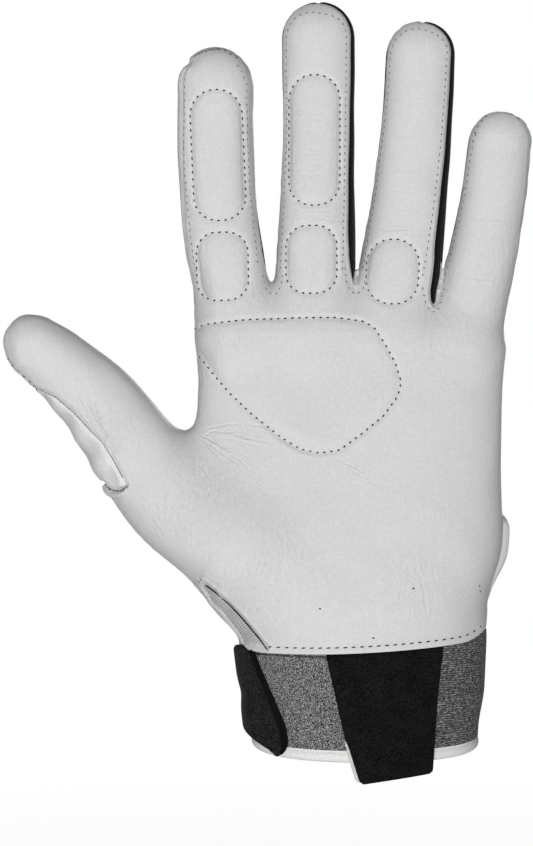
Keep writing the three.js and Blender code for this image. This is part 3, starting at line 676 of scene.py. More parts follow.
def crease_line(crease):
    """Steps along a crease, which wanders a little to its sides."""
    start, middle, end = (np.array(place) for place in crease[:3])
    t = np.linspace(0, 1, CREASE_STEPS + 1)[:, None]
    run = (end - start) / np.linalg.norm(end - start)
    wander = CREASE_WANDER * np.sin(9 * t + start[0]) * np.sin(23 * t + start[1])
    aside = np.array([-run[1], run[0]])
    bent = 2 * middle - (start + end) / 2
    return (1 - t) ** 2 * start + 2 * t * (1 - t) * bent + t ** 2 * end + wander * aside


def line_gaps(p, line, spread):
    """Which points of the palm side lie near a line, and their distances in XZ from each of its places."""
    low, high = line.min(0) - spread, line.max(0) + spread
    picked = np.flatnonzero((p[:, 1] < CREASE_BACK_Y) & (p[:, 0] > low[0]) & (p[:, 0] < high[0])
                            & (p[:, 2] > low[1]) & (p[:, 2] < high[1]))
    return picked, np.hypot(p[picked, 0, None] - line[None, :, 0], p[picked, 2, None] - line[None, :, 1])


def crease_gap(p):
    """Distance in XZ to the nearest crease, for points on the palm side."""
    near = np.full(len(p), FAR)
    for crease in CREASES:
        picked, gaps = line_gaps(p, crease_line(crease), SEAM_FINE)
        near[picked] = np.minimum(near[picked], gaps.min(1, initial=FAR))
    return near


def crease_depth(p, crease):
    """How far a crease sinks the leather, or lifts it at its lips, at each point."""
    depth, width = crease[3], crease[4] * CREASE_NARROW
    picked, gaps = line_gaps(p, crease_line(crease), 4 * width)
    result = np.zeros(len(p))
    if len(picked):
        share = np.linspace(0, 1, CREASE_STEPS + 1)[gaps.argmin(1)]
        fade = np.sin(math.pi * np.clip(share, 0.04, 0.96)) ** 0.7
        gap = gaps.min(1) / width
        result[picked] = depth * fade * (CREASE_LIP * bell(gap - 2, 1) - bell(gap, 1))
    return result


def relief(p, normal, levels):
    """How far the leather stands out from the plain form: pads, quilting, creases and slack."""
    x, y, z = p.T
    facing = smooth(0.0, 0.5, -normal[:, 1])
    out = np.zeros(len(p))
    for name in PAD_NAMES:
        edge = pad_distance(name, x, z)
        lift, groove = PAD_LIFT, PAD_GROOVE
        if name == "palm":
            middle, reach, more_lift, more_groove = PAD_OVER
            over = hill(x, z, middle, reach)
            lift, groove = lift + more_lift * over, groove + more_groove * over
        out += facing * (lift * smooth(0, PAD_EDGE, -edge) - groove * bell(edge, PAD_GROOVE_WIDTH))
    out += facing * np.sum([crease_depth(p, crease) for crease in CREASES], 0)
    # Gentle unevenness of leather over a hand
    out += UNEVEN * np.sin(x / 4.7 + 1.4 * np.sin(z / 9.1)) * np.sin(z / 6.3 + 1.1 * np.sin(x / 7.7 + y / 5))
    for middle, reach, height in MOUNDS:
        out += facing * height * hill(x, z, middle, reach)
    puff = smooth(*BULGE_TOP, z) ** 0.6 * smooth(*BULGE_FOOT, z)
    out += BULGE * puff * smooth(0, 2.2, levels["palm"]) * smooth(*BULGE_X, x)
    # Darts and joint pleats on the back
    rear = smooth(0.1, 0.6, normal[:, 1])
    out += rear * DART_HEIGHT * bell(dart_gap(p), DART_REACH)
    for name, shares in PLEAT_SHARES.items():
        place = stall_place(STALLS[name], p)
        inner = smooth(1.0, 0.6, np.abs(place["across"]) / place["half_width"])
        mine = rear * smooth(0.5, 0, place["distance"]) * inner
        for share in shares:
            for step in (-1, 0, 1):
                gap = (place["u"] - share) * STALLS[name]["length"] - step * PLEAT_PITCH
                out -= PLEAT_DEPTH * mine * bell(gap, PLEAT_REACH)
    # Flat flanks at the thumb side, under the thumb, at the palm pad and at the root of the index finger
    flank = smooth(-0.2, -0.8, normal[:, 0])
    for height, reach, depth, edge in FLANKS:
        out -= depth * flank * bell(z - height, reach) * smooth(edge, edge - FLANK_EASE, x)
    # Notch where the palm leather wraps over the index fingertip
    notch = smooth(-0.2, -0.7, normal[:, 0]) * smooth(-44, -48, x)
    out -= NOTCH_DEPTH * bell(z - INDEX_NOTCH_Z, NOTCH_REACH) * notch
    # Upper side of the thumb towards its tip
    upper = smooth(-72, -80, x) * smooth(-103, -97, x) * smooth(0.1, 0.7, normal[:, 2]) * smooth(100, 108, z)
    out -= THUMB_THIN * upper
    # Flex insert of the thumb, with shallow waves along its outer side
    out += smooth(0, FLEX_EASE, -levels["flex"]) * (FLEX_PUFF + FLEX_WAVE * np.sin((x - z) / FLEX_WAVE_PITCH))
    below = flex_end(x) - z
    rise, place, reach = FLEX_LIP
    sink, fold_reach = FLEX_FOLD
    lip = np.where(below > 0, rise * bell(below - place, reach), -sink * bell(below, fold_reach))
    out += lip * smooth(-69.5, -72, x) * smooth(-86, -82, x) * smooth(0.5, -3.5, y)
    # Free edge of the hem: it stands off a little
    return out + HEM_LIFT * smooth(-3.2, -0.2, levels["hem"]) * facing


def mesh_triangles(obj):
    obj.data.calc_loop_triangles()
    tris = np.empty(len(obj.data.loop_triangles) * 3, np.int32)
    obj.data.loop_triangles.foreach_get("vertices", tris)
    return tris.reshape(-1, 3)


SNAP = 0.12
SMOOTH_ANGLE = 50


def split(rows, tris, column):
    """Cuts triangles where a column crosses zero; gives the rows and the triangles below and above."""
    rows = rows.copy()
    edges = np.unique(np.sort(np.concatenate([tris[:, [0, 1]], tris[:, [1, 2]], tris[:, [2, 0]]]), 1), axis=0)
    level = rows[:, column].copy()
    a, b = edges.T
    crossing = level[a] * level[b] < 0
    a, b = a[crossing], b[crossing]
    share = level[a] / (level[a] - level[b])
    moved = rows.copy()
    for corner, other, part in ((a, b, share), (b, a, 1 - share)):
        near = part < SNAP
        here, there = corner[near], other[near]
        moved[here] = rows[here] + (rows[there] - rows[here]) * part[near, None]
        level[here] = 0
    rows = moved
    rows[level == 0, column] = 0
    still = level[a] * level[b] < 0
    a, b = a[still], b[still]
    share = level[a] / (level[a] - level[b])
    fresh = rows[a] + (rows[b] - rows[a]) * share[:, None]
    fresh[:, column] = 0
    count = len(rows)
    keys = a.astype(np.int64) * count + b
    order = np.argsort(keys)
    keys = keys[order]
    rows = np.concatenate([rows, fresh[order]])

    def cut_of(one, two):
        key = np.minimum(one, two).astype(np.int64) * count + np.maximum(one, two)
        return (count + np.searchsorted(keys, key)).astype(tris.dtype)

    sign = np.sign(level)[tris]
    below_any, above_any = (sign < 0).any(1), (sign > 0).any(1)
    cut = below_any & above_any
    below = [tris[below_any & ~cut]]
    above = [tris[~below_any]]
    for turn in range(3):
        t = np.roll(tris, -turn, 1)
        s = np.roll(sign, -turn, 1)
        through = cut & (s[:, 0] == 0)
        z, p, q = t[through].T
        m = cut_of(p, q)
        first_below = s[through][:, 1] < 0
        for side, keep in ((below, first_below), (above, ~first_below)):
            side.append(np.stack([z, p, m], 1)[keep])
        for side, keep in ((below, ~first_below), (above, first_below)):
            side.append(np.stack([z, m, q], 1)[keep])
        lone = cut & (s[:, 0] != 0) & (s[:, 1] == s[:, 2]) & (s[:, 1] == -s[:, 0])
        one, two, three = t[lone].T
        m, n = cut_of(one, two), cut_of(one, three)
        lone_below = s[lone][:, 0] < 0
        tip = np.stack([one, m, n], 1)
        rest = np.concatenate([np.stack([m, two, three], 1), np.stack([m, three, n], 1)])
        twice = np.concatenate([lone_below, lone_below])
        below += [tip[lone_below], rest[~twice]]
        above += [tip[~lone_below], rest[twice]]
    return rows, np.concatenate(below), np.concatenate(above)


def compact(rows, tris):
    used, index = np.unique(tris, return_inverse=True)
    return rows[used], index.reshape(-1, 3)


def border_vertices(tris):
    """Vertices on edges that only one triangle has."""
    edges = np.sort(np.concatenate([tris[:, [0, 1]], tris[:, [1, 2]], tris[:, [2, 0]]]), 1)
    kinds, counts = np.unique(edges, axis=0, return_counts=True)
    return kinds[counts == 1]


def border_gap(p, line):
    """Distance of each point from the nearest of the points on a line."""
    tree = KDTree(len(line))
    for i, point in enumerate(line):
        tree.insert(point, i)
    tree.balance()
    return np.array([tree.find(point)[2] for point in p])


def new_mesh(name, p, faces):
    mesh = bpy.data.meshes.new(name)
    mesh.from_pydata((p * MM).tolist(), [], faces)
    mesh.update()
    obj = bpy.data.objects.new(name, mesh)
    bpy.context.scene.collection.objects.link(obj)
    return obj


def finish_mesh(obj, *modifiers):
    """Applies modifiers given as (kind, settings) and shades the mesh smooth."""
    only(obj)
    for kind, settings in modifiers:
        modifier = obj.modifiers.new(kind.lower(), kind)
        for key, value in settings.items():
            setattr(modifier, key, value)
        bpy.ops.object.modifier_apply(modifier=modifier.name)
    bpy.ops.object.shade_smooth_by_angle(angle=math.radians(SMOOTH_ANGLE))


def thicken(obj, thickness, offset=1, bevel=0, **more):
    """Gives a sheet its thickness and, where asked, small rounded edges, in millimetres."""
    steps = [("SOLIDIFY", dict(thickness=thickness * MM, offset=offset, **more))]
    if bevel:
        steps.append(("BEVEL", dict(width=bevel * MM, segments=2, limit_method="ANGLE")))
    finish_mesh(obj, *steps)


def dress(obj, body, slot, *materials, stands_for=()):
    for material in materials:
        obj.data.materials.append(material)
    if body:
        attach(obj, body)
    if stands_for:
        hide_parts(*stands_for)


# Materials. Colours are sRGB hex values.
def linear(code):
    parts = [int(code[i:i + 2], 16) / 255 for i in (1, 3, 5)]
    return (*[c / 12.92 if c <= 0.04045 else ((c + 0.055) / 1.055) ** 2.4 for c in parts], 1)


def add(material, kind, settings, inputs):
    """Adds a node. Its settings may hold a ramp's (place, hex) stops; an input is a value or an output."""
    made = material.node_tree.nodes.new("ShaderNode" + kind)
    for key, value in settings.items():
        if key == "stops":
            points = made.color_ramp.elements
            while len(points) < len(value):
                points.new(0.5)
            for point, (place, code) in zip(points, value):
                point.position = place
                point.color = linear(code)
        else:
            setattr(made, key, value)
    for key, value in inputs.items():
        if isinstance(value, bpy.types.NodeSocket):
            material.node_tree.links.new(value, made.inputs[key])
        else:
            made.inputs[key].default_value = value
    return made


def new_material(name):
    material = bpy.data.materials.new(name)
    material.use_nodes = True
    material.node_tree.nodes.clear()
    return material


def close(material, shader):
    add(material, "OutputMaterial", {}, {"Surface": shader.outputs[0]})
    return material


def per_mm(size):
    """Pattern scale for a feature of a size in millimetres."""
    return 1 / (size * MM)


# Blender's wave texture has one band in 0.05 * 2 pi of its scaled length
WAVE = math.pi / 10


# Where the leather is drawn into fine lines by use: the ball of the thumb, the heel and beside the insert
DRAWN_PLACES = (((-50, -14, 72), 24), ((-30, -20, 52), 24), ((-74, -14, 92), 14), ((10, -20, 48), 16))


def leather_material(name, light, dark):
    # Goatskin, drum-dyed white: a fine pebbled grain with pores, soft satin, slightly uneven in tone
    m = new_material(name)
    place = add(m, "TexCoord", {}, {}).outputs["Object"]
    pebble = add(m, "TexVoronoi", {"feature": "DISTANCE_TO_EDGE"},
                 {"Vector": place, "Scale": per_mm(0.8), "Randomness": 1.0}).outputs["Distance"]
    turned = add(m, "Mapping", {}, {"Vector": place, "Rotation": (0, 0.35, 0),
                                    "Scale": (1, 1, 0.4)}).outputs[0]
    pores, drape, tone, streak, patch = [
        add(m, "TexNoise", {}, {"Vector": vector, "Scale": per_mm(size), "Detail": detail}).outputs["Fac"]
        for vector, size, detail in ((place, 0.45, 3.0), (place, 5, 3.0), (place, 0.9, 4.0),
                                     (turned, 1.1, 3.0), (place, 22, 1.0))]
    worn = add(m, "MapRange", {}, {"Value": patch, "From Min": 0.4, "From Max": 0.7}).outputs["Result"]
    for centre, reach in DRAWN_PLACES:
        middle = tuple(value * MM for value in centre)
        away = add(m, "VectorMath", {"operation": "DISTANCE"}, {0: place, 1: middle}).outputs["Value"]
        near = add(m, "MapRange", {}, {"Value": away, "From Min": reach * MM, "From Max": 0.3 * reach * MM,
                                       "To Max": 1.8}).outputs["Result"]
        worn = add(m, "Math", {"operation": "MAXIMUM"}, {0: worn, 1: near}).outputs[0]
    lines = add(m, "Math", {"operation": "MULTIPLY"}, {0: streak, 1: worn}).outputs[0]
    under = {}
    for height, depth, strength in ((pebble, 0.12, 0.6), (pores, 0.2, 0.6), (drape, 0.6, 0.25),
                                    (lines, 0.6, 0.6)):
        layer = add(m, "Bump", {}, {"Height": height, "Distance": depth * MM, "Strength": strength, **under})
        under = {"Normal": layer.outputs["Normal"]}
    colour = add(m, "ValToRGB", {"stops": ((0.3, dark), (0.7, light))}, {"Fac": tone}).outputs["Color"]
    rough = add(m, "MapRange", {}, {"Value": pores, "To Min": 0.5, "To Max": 0.68}).outputs["Result"]
    return close(m, add(m, "BsdfPrincipled", {}, {"Base Color": colour, "Roughness": rough, "IOR": 1.5,
                                                  "Specular IOR Level": 0.2, **under}))


def knit_material(name, light, dark, pitch, depth, sheen):
    # Warp-knit stretch cloth: rows of tiny loops crossing in two directions, matt with a faint sheen
    m = new_material(name)
    place = add(m, "TexCoord", {}, {}).outputs["Object"]
    rows, lines = [add(m, "TexWave", {"bands_direction": direction},
                       {"Vector": place, "Scale": per_mm(pitch) * WAVE, "Distortion": 0.6, "Detail": 1.0,
                        "Detail Scale": 2.0}).outputs["Fac"] for direction in "XZ"]
    both = add(m, "Math", {"operation": "MULTIPLY"}, {0: rows, 1: lines}).outputs[0]
    wear = add(m, "TexNoise", {}, {"Vector": place, "Scale": per_mm(4), "Detail": 4.0}).outputs["Fac"]
    mixed = add(m, "Math", {"operation": "MULTIPLY"}, {0: both, 1: wear}).outputs[0]
    colour = add(m, "ValToRGB", {"stops": ((0.05, dark), (0.6, light))}, {"Fac": mixed}).outputs["Color"]
    bump = add(m, "Bump", {}, {"Height": both, "Distance": depth * MM, "Strength": 0.8}).outputs["Normal"]
    return close(m, add(m, "BsdfPrincipled", {}, {"Base Color": colour, "Roughness": 0.85, "Normal": bump,
                                                  "Specular IOR Level": 0.08, "Sheen Weight": sheen,
                                                  "Sheen Roughness": 0.5}))


def elastic_material():
    # Woven elastic webbing: rubber cores under fine cross ribs, dull grey
    m = new_material("woven_elastic")
    place = add(m, "TexCoord", {}, {}).outputs["Object"]
    ribs = add(m, "TexWave", {"bands_direction": "Z"},
               {"Vector": place, "Scale": per_mm(0.66) * WAVE, "Distortion": 1.0, "Detail": 2.0,
                "Detail Scale": 3.0}).outputs["Fac"]
    wide = add(m, "Mapping", {}, {"Vector": place, "Scale": (0.4, 0.4, 1)}).outputs[0]
    threads = add(m, "TexNoise", {}, {"Vector": wide, "Scale": per_mm(0.36), "Detail": 2.0}).outputs["Fac"]
    both = add(m, "MixRGB", {}, {"Fac": 0.14, "Color1": threads, "Color2": ribs}).outputs[0]
    colour = add(m, "ValToRGB", {"stops": ((0.3, "#1c1c1c"), (0.5, "#505050"), (0.7, "#a0a0a0"))},
                 {"Fac": both}).outputs["Color"]
    bump = add(m, "Bump", {}, {"Height": both, "Distance": 0.25 * MM, "Strength": 0.8}).outputs["Normal"]
    return close(m, add(m, "BsdfPrincipled", {}, {"Base Color": colour, "Roughness": 0.8, "Normal": bump,
                                                  "Specular IOR Level": 0.12}))


def rib_material():
    # Rib-knit cotton: cords across the vent, paler on top and darker between them; the darker hollows between
    # the cords are painted shade
    m = new_material("grey_rib_knit")
    place = add(m, "TexCoord", {}, {}).outputs["Object"]
    slant = math.atan2(VENT_FOOT[1] - VENT_TOP[1], VENT_FOOT[0] - VENT_TOP[0])
    along = add(m, "Mapping", {}, {"Vector": place, "Rotation": (0, slant, 0)}).outputs[0]
    cords = add(m, "TexWave", {"bands_direction": "X"},
                {"Vector": along, "Scale": per_mm(RIB_PITCH) * WAVE, "Distortion": 1.5, "Detail": 2.0,
                 "Detail Scale": 1.5}).outputs["Fac"]
    fibre = add(m, "TexNoise", {}, {"Vector": place, "Scale": per_mm(0.4), "Detail": 3.0}).outputs["Fac"]
    both = add(m, "MixRGB", {}, {"Fac": 0.35, "Color1": cords, "Color2": fibre}).outputs[0]
    colour = add(m, "ValToRGB", {"stops": ((0.25, "#c4c4c3"), (0.75, "#f2f2f1"))},
                 {"Fac": both}).outputs["Color"]
    bump = add(m, "Bump", {}, {"Height": cords, "Distance": 0.15 * MM, "Strength": 0.7}).outputs["Normal"]
    return close(m, add(m, "BsdfPrincipled", {}, {"Base Color": colour, "Roughness": 0.85, "Normal": bump,
                                                  "Specular IOR Level": 0.15}))


def loop_material():
    # Brushed loop pile of a hook-and-loop tape: tangled loops, so light and dark flecks under a millimetre
    m = new_material("loop_pile")
    place = add(m, "TexCoord", {}, {}).outputs["Object"]
    tangle = add(m, "TexNoise", {}, {"Vector": place, "Scale": per_mm(0.26), "Detail": 2.0,
                                     "Roughness": 0.6, "Distortion": 0.4}).outputs["Fac"]
    colour = add(m, "ValToRGB", {"stops": ((0.38, "#0a0a0a"), (0.5, "#4c4c4c"), (0.62, "#d0d0d0"))},
                 {"Fac": tangle}).outputs["Color"]
    bump = add(m, "Bump", {}, {"Height": tangle, "Distance": 0.5 * MM, "Strength": 0.9}).outputs["Normal"]
    return close(m, add(m, "BsdfPrincipled", {}, {"Base Color": colour, "Roughness": 0.9, "Normal": bump,
                                                  "Specular IOR Level": 0.1, "Sheen Weight": 0.05}))


def cloth_material(name, light, dark, thread, depth, rough, worn=0.0, spread=0.14):
    # Plain cloth or felt: short fibres with no clear direction, rubbed paler in cloudy patches where worn
    m = new_material(name)
    place = add(m, "TexCoord", {}, {}).outputs["Object"]
    fibre = add(m, "TexNoise", {}, {"Vector": place, "Scale": per_mm(thread), "Detail": 4.0,
                                    "Roughness": 0.65}).outputs["Fac"]
    shade = fibre
    if worn:
        cloud = add(m, "TexNoise", {}, {"Vector": place, "Scale": per_mm(5), "Detail": 3.0}).outputs["Fac"]
        shade = add(m, "MixRGB", {}, {"Fac": worn, "Color1": fibre, "Color2": cloud}).outputs[0]
    colour = add(m, "ValToRGB", {"stops": ((0.5 - spread, dark), (0.5 + spread, light))},
                 {"Fac": shade}).outputs["Color"]
    bump = add(m, "Bump", {}, {"Height": fibre, "Distance": depth * MM, "Strength": 0.7}).outputs["Normal"]
    return close(m, add(m, "BsdfPrincipled", {}, {"Base Color": colour, "Roughness": rough, "Normal": bump,
                                                  "Specular IOR Level": 0.06}))


# White goatskin, the smoother skin of the flex insert and the raw inside of the leather
leather = leather_material("white_goatskin", "#dbdbdb", "#d3d3d3")
flex_leather = leather_material("white_flex_leather", "#e7e7e7", "#dedede")
suede = cloth_material("leather_inside", "#cfcfcd", "#bdbdba", 0.5, 0.2, 0.9)
# Coarser black knit of the back with its thread, and finer black knit between the fingers
back_stretch = knit_material("black_back_knit", "#262627", "#08080a", 1.1, 0.3, 0.15)
back_thread = cloth_material("grey_back_thread", "#4a4a4b", "#2c2c2d", 0.2, 0.05, 0.8)
stretch = knit_material("black_stretch_knit", "#161617", "#060607", 0.7, 0.15, 0.05)
gusset_knit = rib_material()
elastic = elastic_material()
loop_pile = loop_material()
# White binding tape, closed-cell foam, thin backing cloth and pale felt
binding_tape = cloth_material("white_binding_tape", "#f0f0ef", "#e0e0df", 0.5, 0.1, 0.75)
foam = cloth_material("closed_cell_foam", "#8f9198", "#83858c", 0.8, 0.15, 0.8)
backing = cloth_material("backing_cloth", "#d0d0d2", "#c0c0c4", 0.4, 0.1, 0.9)
felt = cloth_material("pale_felt_lining", "#dadad9", "#c4c4c2", 0.5, 0.15, 0.9)
# Laminated cloth of the strap and of the tab, moulded hook tape, and spun sewing threads
strap_cloth = cloth_material("black_strap_fabric", "#303031", "#000000", 0.45, 0.25, 0.8,
                             worn=0.18, spread=0.07)
tab_cloth = cloth_material("black_tab_fabric", "#1a1a1b", "#000000", 0.45, 0.2, 0.8, worn=0.18, spread=0.07)
hook_tape = cloth_material("hook_tape", "#1d1d1e", "#0d0d0e", 0.9, 0.35, 0.6)
thread = cloth_material("dark_thread", "#2c2c2c", "#161616", 0.2, 0.05, 0.7)
seam_thread = cloth_material("grey_seam_thread", "#6e6e6e", "#484848", 0.2, 0.05, 0.7)
# The blackest thread also colours the band of painted shade along the strap's end
thread_and_edge_shade = cloth_material("black_strap_thread_and_edge_shade", "#0c0c0d", "#040405", 0.2, 0.05, 0.8)

# Form, relief and panels
form = glove_form()
points, normals = settle(read_points(form), 2)
triangles = mesh_triangles(form)
levels = panel_levels(points)
LEVEL = {name: 6 + i for i, name in enumerate(levels)}
points = points + normals * relief(points, normals, levels)[:, None]
levels["vent"] = vent_level(points)
rows = np.concatenate([points, normals, np.stack(list(levels.values()), 1)], 1)
bpy.data.meshes.remove(form.data)

# Each panel: piece, level, CAD node, slot, material, depth of its sewn edge and how deep it is sunk
PANELS = (
    ("thumb_flex_skin", "flex", "thumb_flex_panel", "white_leather", flex_leather, 0.5, 0.0),
    ("vent_knit", "vent", "vent_gusset", "grey_knit", gusset_knit, 0.25, 0.15),
    ("palm_leather", "palm", "palm_panel", "white_leather", leather, 0.3, 0.0),
    ("thumb_back_leather", "thumb_back", "thumb_back_panel", "white_leather", leather, 0.3, 0.0),
    ("index_side_leather", "index_side", "index_side_panel", "white_leather", leather, 0.3, 0.0),
    ("little_side_leather", "little_side", "little_side_panel", "white_leather", leather, 0.45, 0.0),
    ("index_middle_knit", "index_middle", "index_middle_fourchette", "black_stretch", stretch, 0.45, 0.1),
    ("middle_ring_knit", "middle_ring", "middle_ring_fourchette", "black_stretch", stretch, 0.45, 0.1),
    ("ring_little_knit", "ring_little", "ring_little_fourchette", "black_stretch", stretch, 0.45, 0.1),
    ("back_knit", None, "back_panel", "black_stretch", back_stretch, 0.45, 0.1),
)
EDGE_REACH = 0.75
RIDGE_PLACE = 1.5
RIDGE_HEIGHT = 0.22
RIDGE_REACH = 0.6

rows, rest, _ = split(rows, triangles, LEVEL["hem"])
shell_points, shell_faces, shell_count = [], [], 0
for name, level, stands_for, slot, material, edge_depth, sunk in PANELS:
    if level:
        rows, mine, rest = split(rows, rest, LEVEL[level])
    else:
        mine = rest
    panel, faces = compact(rows, mine)
    place, normal = panel[:, :3], panel[:, 3:6]
    normal = normal / np.linalg.norm(normal, axis=1)[:, None]
    border = border_vertices(faces)
    on_hem = np.abs(panel[:, LEVEL["hem"]]) < 1e-4
    sewn = border[~(on_hem[border[:, 0]] & on_hem[border[:, 1]])]
    gap = border_gap(place, place[np.unique(sewn)])
    out = -edge_depth * bell(gap, EDGE_REACH) - sunk
    if slot == "white_leather":
        out += RIDGE_HEIGHT * bell(gap - RIDGE_PLACE, RIDGE_REACH)
    if level == "vent":
        share, _, length = vent_place(place)
        out += RIB_HEIGHT * np.cos(2 * math.pi * share * length / RIB_PITCH) * smooth(0, 0.5, gap)
    place = place + normal * out[:, None]
    skin = new_mesh(name, place, faces.tolist())
    thicken(skin, SKIN, offset=-1, use_even_offset=False, material_offset=1)
    inside = suede if slot == "white_leather" else material
    dress(skin, "glove", slot, material, inside, stands_for=[stands_for])
    shell_points.append(place)
    shell_faces.append(faces + shell_count)
    shell_count += len(place)
shell_points = np.concatenate(shell_points)
shell_faces = np.concatenate(shell_faces)
shell = BVHTree.FromPolygons(shell_points.tolist(), shell_faces.tolist())
RAY_START = 200


def on_front(xz, face=-1):
    """Points and normals of the shell's palm side, or of its back with face 1, at places in XZ."""
    found = [shell.ray_cast((x, RAY_START * face, z), (0, -face, 0)) for x, z in xz]
    kept = [hit for hit in found if hit[0] is not None]
    return np.array([tuple(hit[0]) for hit in kept]), np.array([tuple(hit[1]) for hit in kept])


def on_shell(near):
    found = [shell.find_nearest(tuple(point)) for point in near]
    return np.array([tuple(hit[0]) for hit in found]), np.array([tuple(hit[1]) for hit in found])


def spaced(line, pitch, closed=False):
    """Points at an even pitch along a line of points."""
    line = np.asarray(line, float)
    if closed:
        line = np.concatenate([line, line[:1]])
    run = np.concatenate([[0], np.cumsum(np.linalg.norm(np.diff(line, axis=0), axis=1))])
    count = max(int(round(run[-1] / pitch)), 1)
    at = np.linspace(0, run[-1], count + 1)[:count if closed else count + 1]
    return np.stack([np.interp(at, run, line[:, i]) for i in range(line.shape[1])], 1)


def steady(values):
    """Each row of values as the mean of its neighbourhood, so a line of thread runs even."""
    padded = np.pad(values, ((4, 4), (0, 0)), mode="edge")
    return np.mean([padded[i:i + len(values)] for i in range(9)], 0)


proto = ball("stitch", 8, 6)
STITCH = read_points(proto) * MM
STITCH_FACES = [list(face.vertices) for face in proto.data.polygons]
bpy.data.meshes.remove(proto.data)


def sew(name, rows_of_points, body, slot, material, length, width, height, turn=0.0):
    """One mesh of stitches: each row is its points and the surface normals there."""
    verts, faces = [], []
    for place, normal in rows_of_points:
        if not len(place):
            continue
        ahead = np.gradient(place, axis=0) if len(place) > 1 else np.array([[1.0, 0, 0]])
        ahead -= normal * (ahead * normal).sum(1)[:, None]
        ahead /= np.maximum(np.linalg.norm(ahead, axis=1), 1e-9)[:, None]
        aside = np.cross(normal, ahead)
        ahead, aside = (ahead * math.cos(turn) + aside * math.sin(turn),
                        aside * math.cos(turn) - ahead * math.sin(turn))
        for i in range(len(place)):
            faces += [[v + len(verts) * len(STITCH) for v in face] for face in STITCH_FACES]
            verts.append(place[i] + STITCH[:, :1] * length / 2 * ahead[i]
                         + STITCH[:, 1:2] * width / 2 * aside[i] + STITCH[:, 2:] * height / 2 * normal[i])
    obj = new_mesh(name, np.concatenate(verts), faces)
    finish_mesh(obj)
    dress(obj, body, slot, material)


CORNER_STEPS = 10


def pad_outline(name, inset=0.0):
    """The pad's outline in XZ: its core corners grown by the corner radius."""
    core, radius = pad_core(name)
    core = np.array(core)
    radius -= inset
    area = np.sum(core[:, 0] * np.roll(core[:, 1], -1) - np.roll(core[:, 0], -1) * core[:, 1])
    if area > 0:
        core = core[::-1]
    line = []
    for i in range(len(core)):
        into, away = core[i] - core[i - 1], core[(i + 1) % len(core)] - core[i]
        start = np.array([-into[1], into[0]]) / np.hypot(*into)
        end = np.array([-away[1], away[0]]) / np.hypot(*away)
        a, b = math.atan2(start[1], start[0]), math.atan2(end[1], end[0])
        b += 2 * math.pi * round((a - b) / (2 * math.pi))
        for angle in np.linspace(a, b, CORNER_STEPS):
            line.append(core[i] + radius * np.array([math.cos(angle), math.sin(angle)]))
    return np.array(line)


QUILT_PITCH = 2.07
quilt_rows = [on_front(spaced(pad_outline(name), QUILT_PITCH, closed=True)) for name in PAD_NAMES]
sew("quilt_stitches", quilt_rows, "glove", "white_leather", thread, 0.95, 0.5, 0.36, 0.12)

# Stitch rows of the stalls: where they start, their shares of the half depth at the root, middle and tip,
# left and right, and how much further they come to the front over the tip
SEAM_ROWS = {
    "index": (0.24, (-0.66, -0.66, -0.7), (-0.85, -0.6, -0.7), -0.04),
    "middle": (0.2, (-0.55, -0.5, -0.58), (-0.88, -0.78, -0.74), -0.18),
    "ring": (0.2, (-0.45, -0.45, -0.58), (-0.95, -0.84, -0.76), -0.14),
    "little": (0.26, (-0.5, -0.45, -0.6), (-0.4, -0.4, -0.6), -0.14),
}
# Stitches round the bottom of each finger crotch
CROTCH_ROWS = (
    ((-30.6, 139.5), (-30.1, 136.6), (-28.8, 134.5), (-26.8, 134.2), (-25.3, 136.3), (-24.7, 139.5)),
    ((-6.3, 141.6), (-5.9, 137.5), (-4.7, 134.8), (-2.6, 134.2), (-0.9, 136.0), (0, 139.8)),
    ((16.5, 135.7), (17.3, 131.9), (18.8, 128.9), (20.9, 128.9), (22.3, 131.9), (23.2, 135.7)),
)
SEAM_PITCH = 2.0
ROW_STEPS = 40
seam_rows = [on_front(spaced(row, SEAM_PITCH)) for row in CROTCH_ROWS]
for name, (start, left, right, over_tip) in SEAM_ROWS.items():
    stall = STALLS[name]
    tip = stall["widths"][2] / 2 / stall["length"]
    run = np.linspace(start, 1 - tip, ROW_STEPS)
    arc = np.linspace(-math.pi / 2, math.pi / 2, 24)[1:-1]
    tip_level = (left[2] + right[2]) / 2 + (right[2] - left[2]) / 2 * np.sin(arc)
    tip_level += over_tip * np.cos(arc) ** 2
    tip_reach = (1 - np.abs(tip_level) ** ROUNDNESS) ** (1 / ROUNDNESS)
    along = np.concatenate([run, 1 - tip + tip_reach * tip * np.cos(arc), run[::-1]])
    side = np.concatenate([-np.ones(ROW_STEPS), np.sin(arc), np.ones(ROW_STEPS)])
    size = np.clip(along, 0, 1)
    level = np.where(side < 0, bend(left, size), bend(right, size))
    level[ROW_STEPS:-ROW_STEPS] = tip_level
    through = level * bend(stall["depths"], size) / 2
    reach = np.maximum(1 - np.abs(level) ** ROUNDNESS, 0.05) ** (1 / ROUNDNESS)
    across = side * reach * bend(stall["widths"], size) / 2
    # The little finger's row ends over its tip, and the index finger's stops short of the wrapped tip
    parts = [np.ones(len(side), bool)]
    if name == "little":
        parts = [side < -0.99]
    elif name == "index":
        parts = [(side < -0.97), (side > 0.75)]
    for kept in parts:
        row = stall_point(stall, along[kept], across[kept], through[kept])
        seam_rows.append(on_shell(spaced(row, SEAM_PITCH)))
sew("finger_seam_stitches", seam_rows, "glove", "white_leather", seam_thread, 0.8, 0.36, 0.3, 0.1)
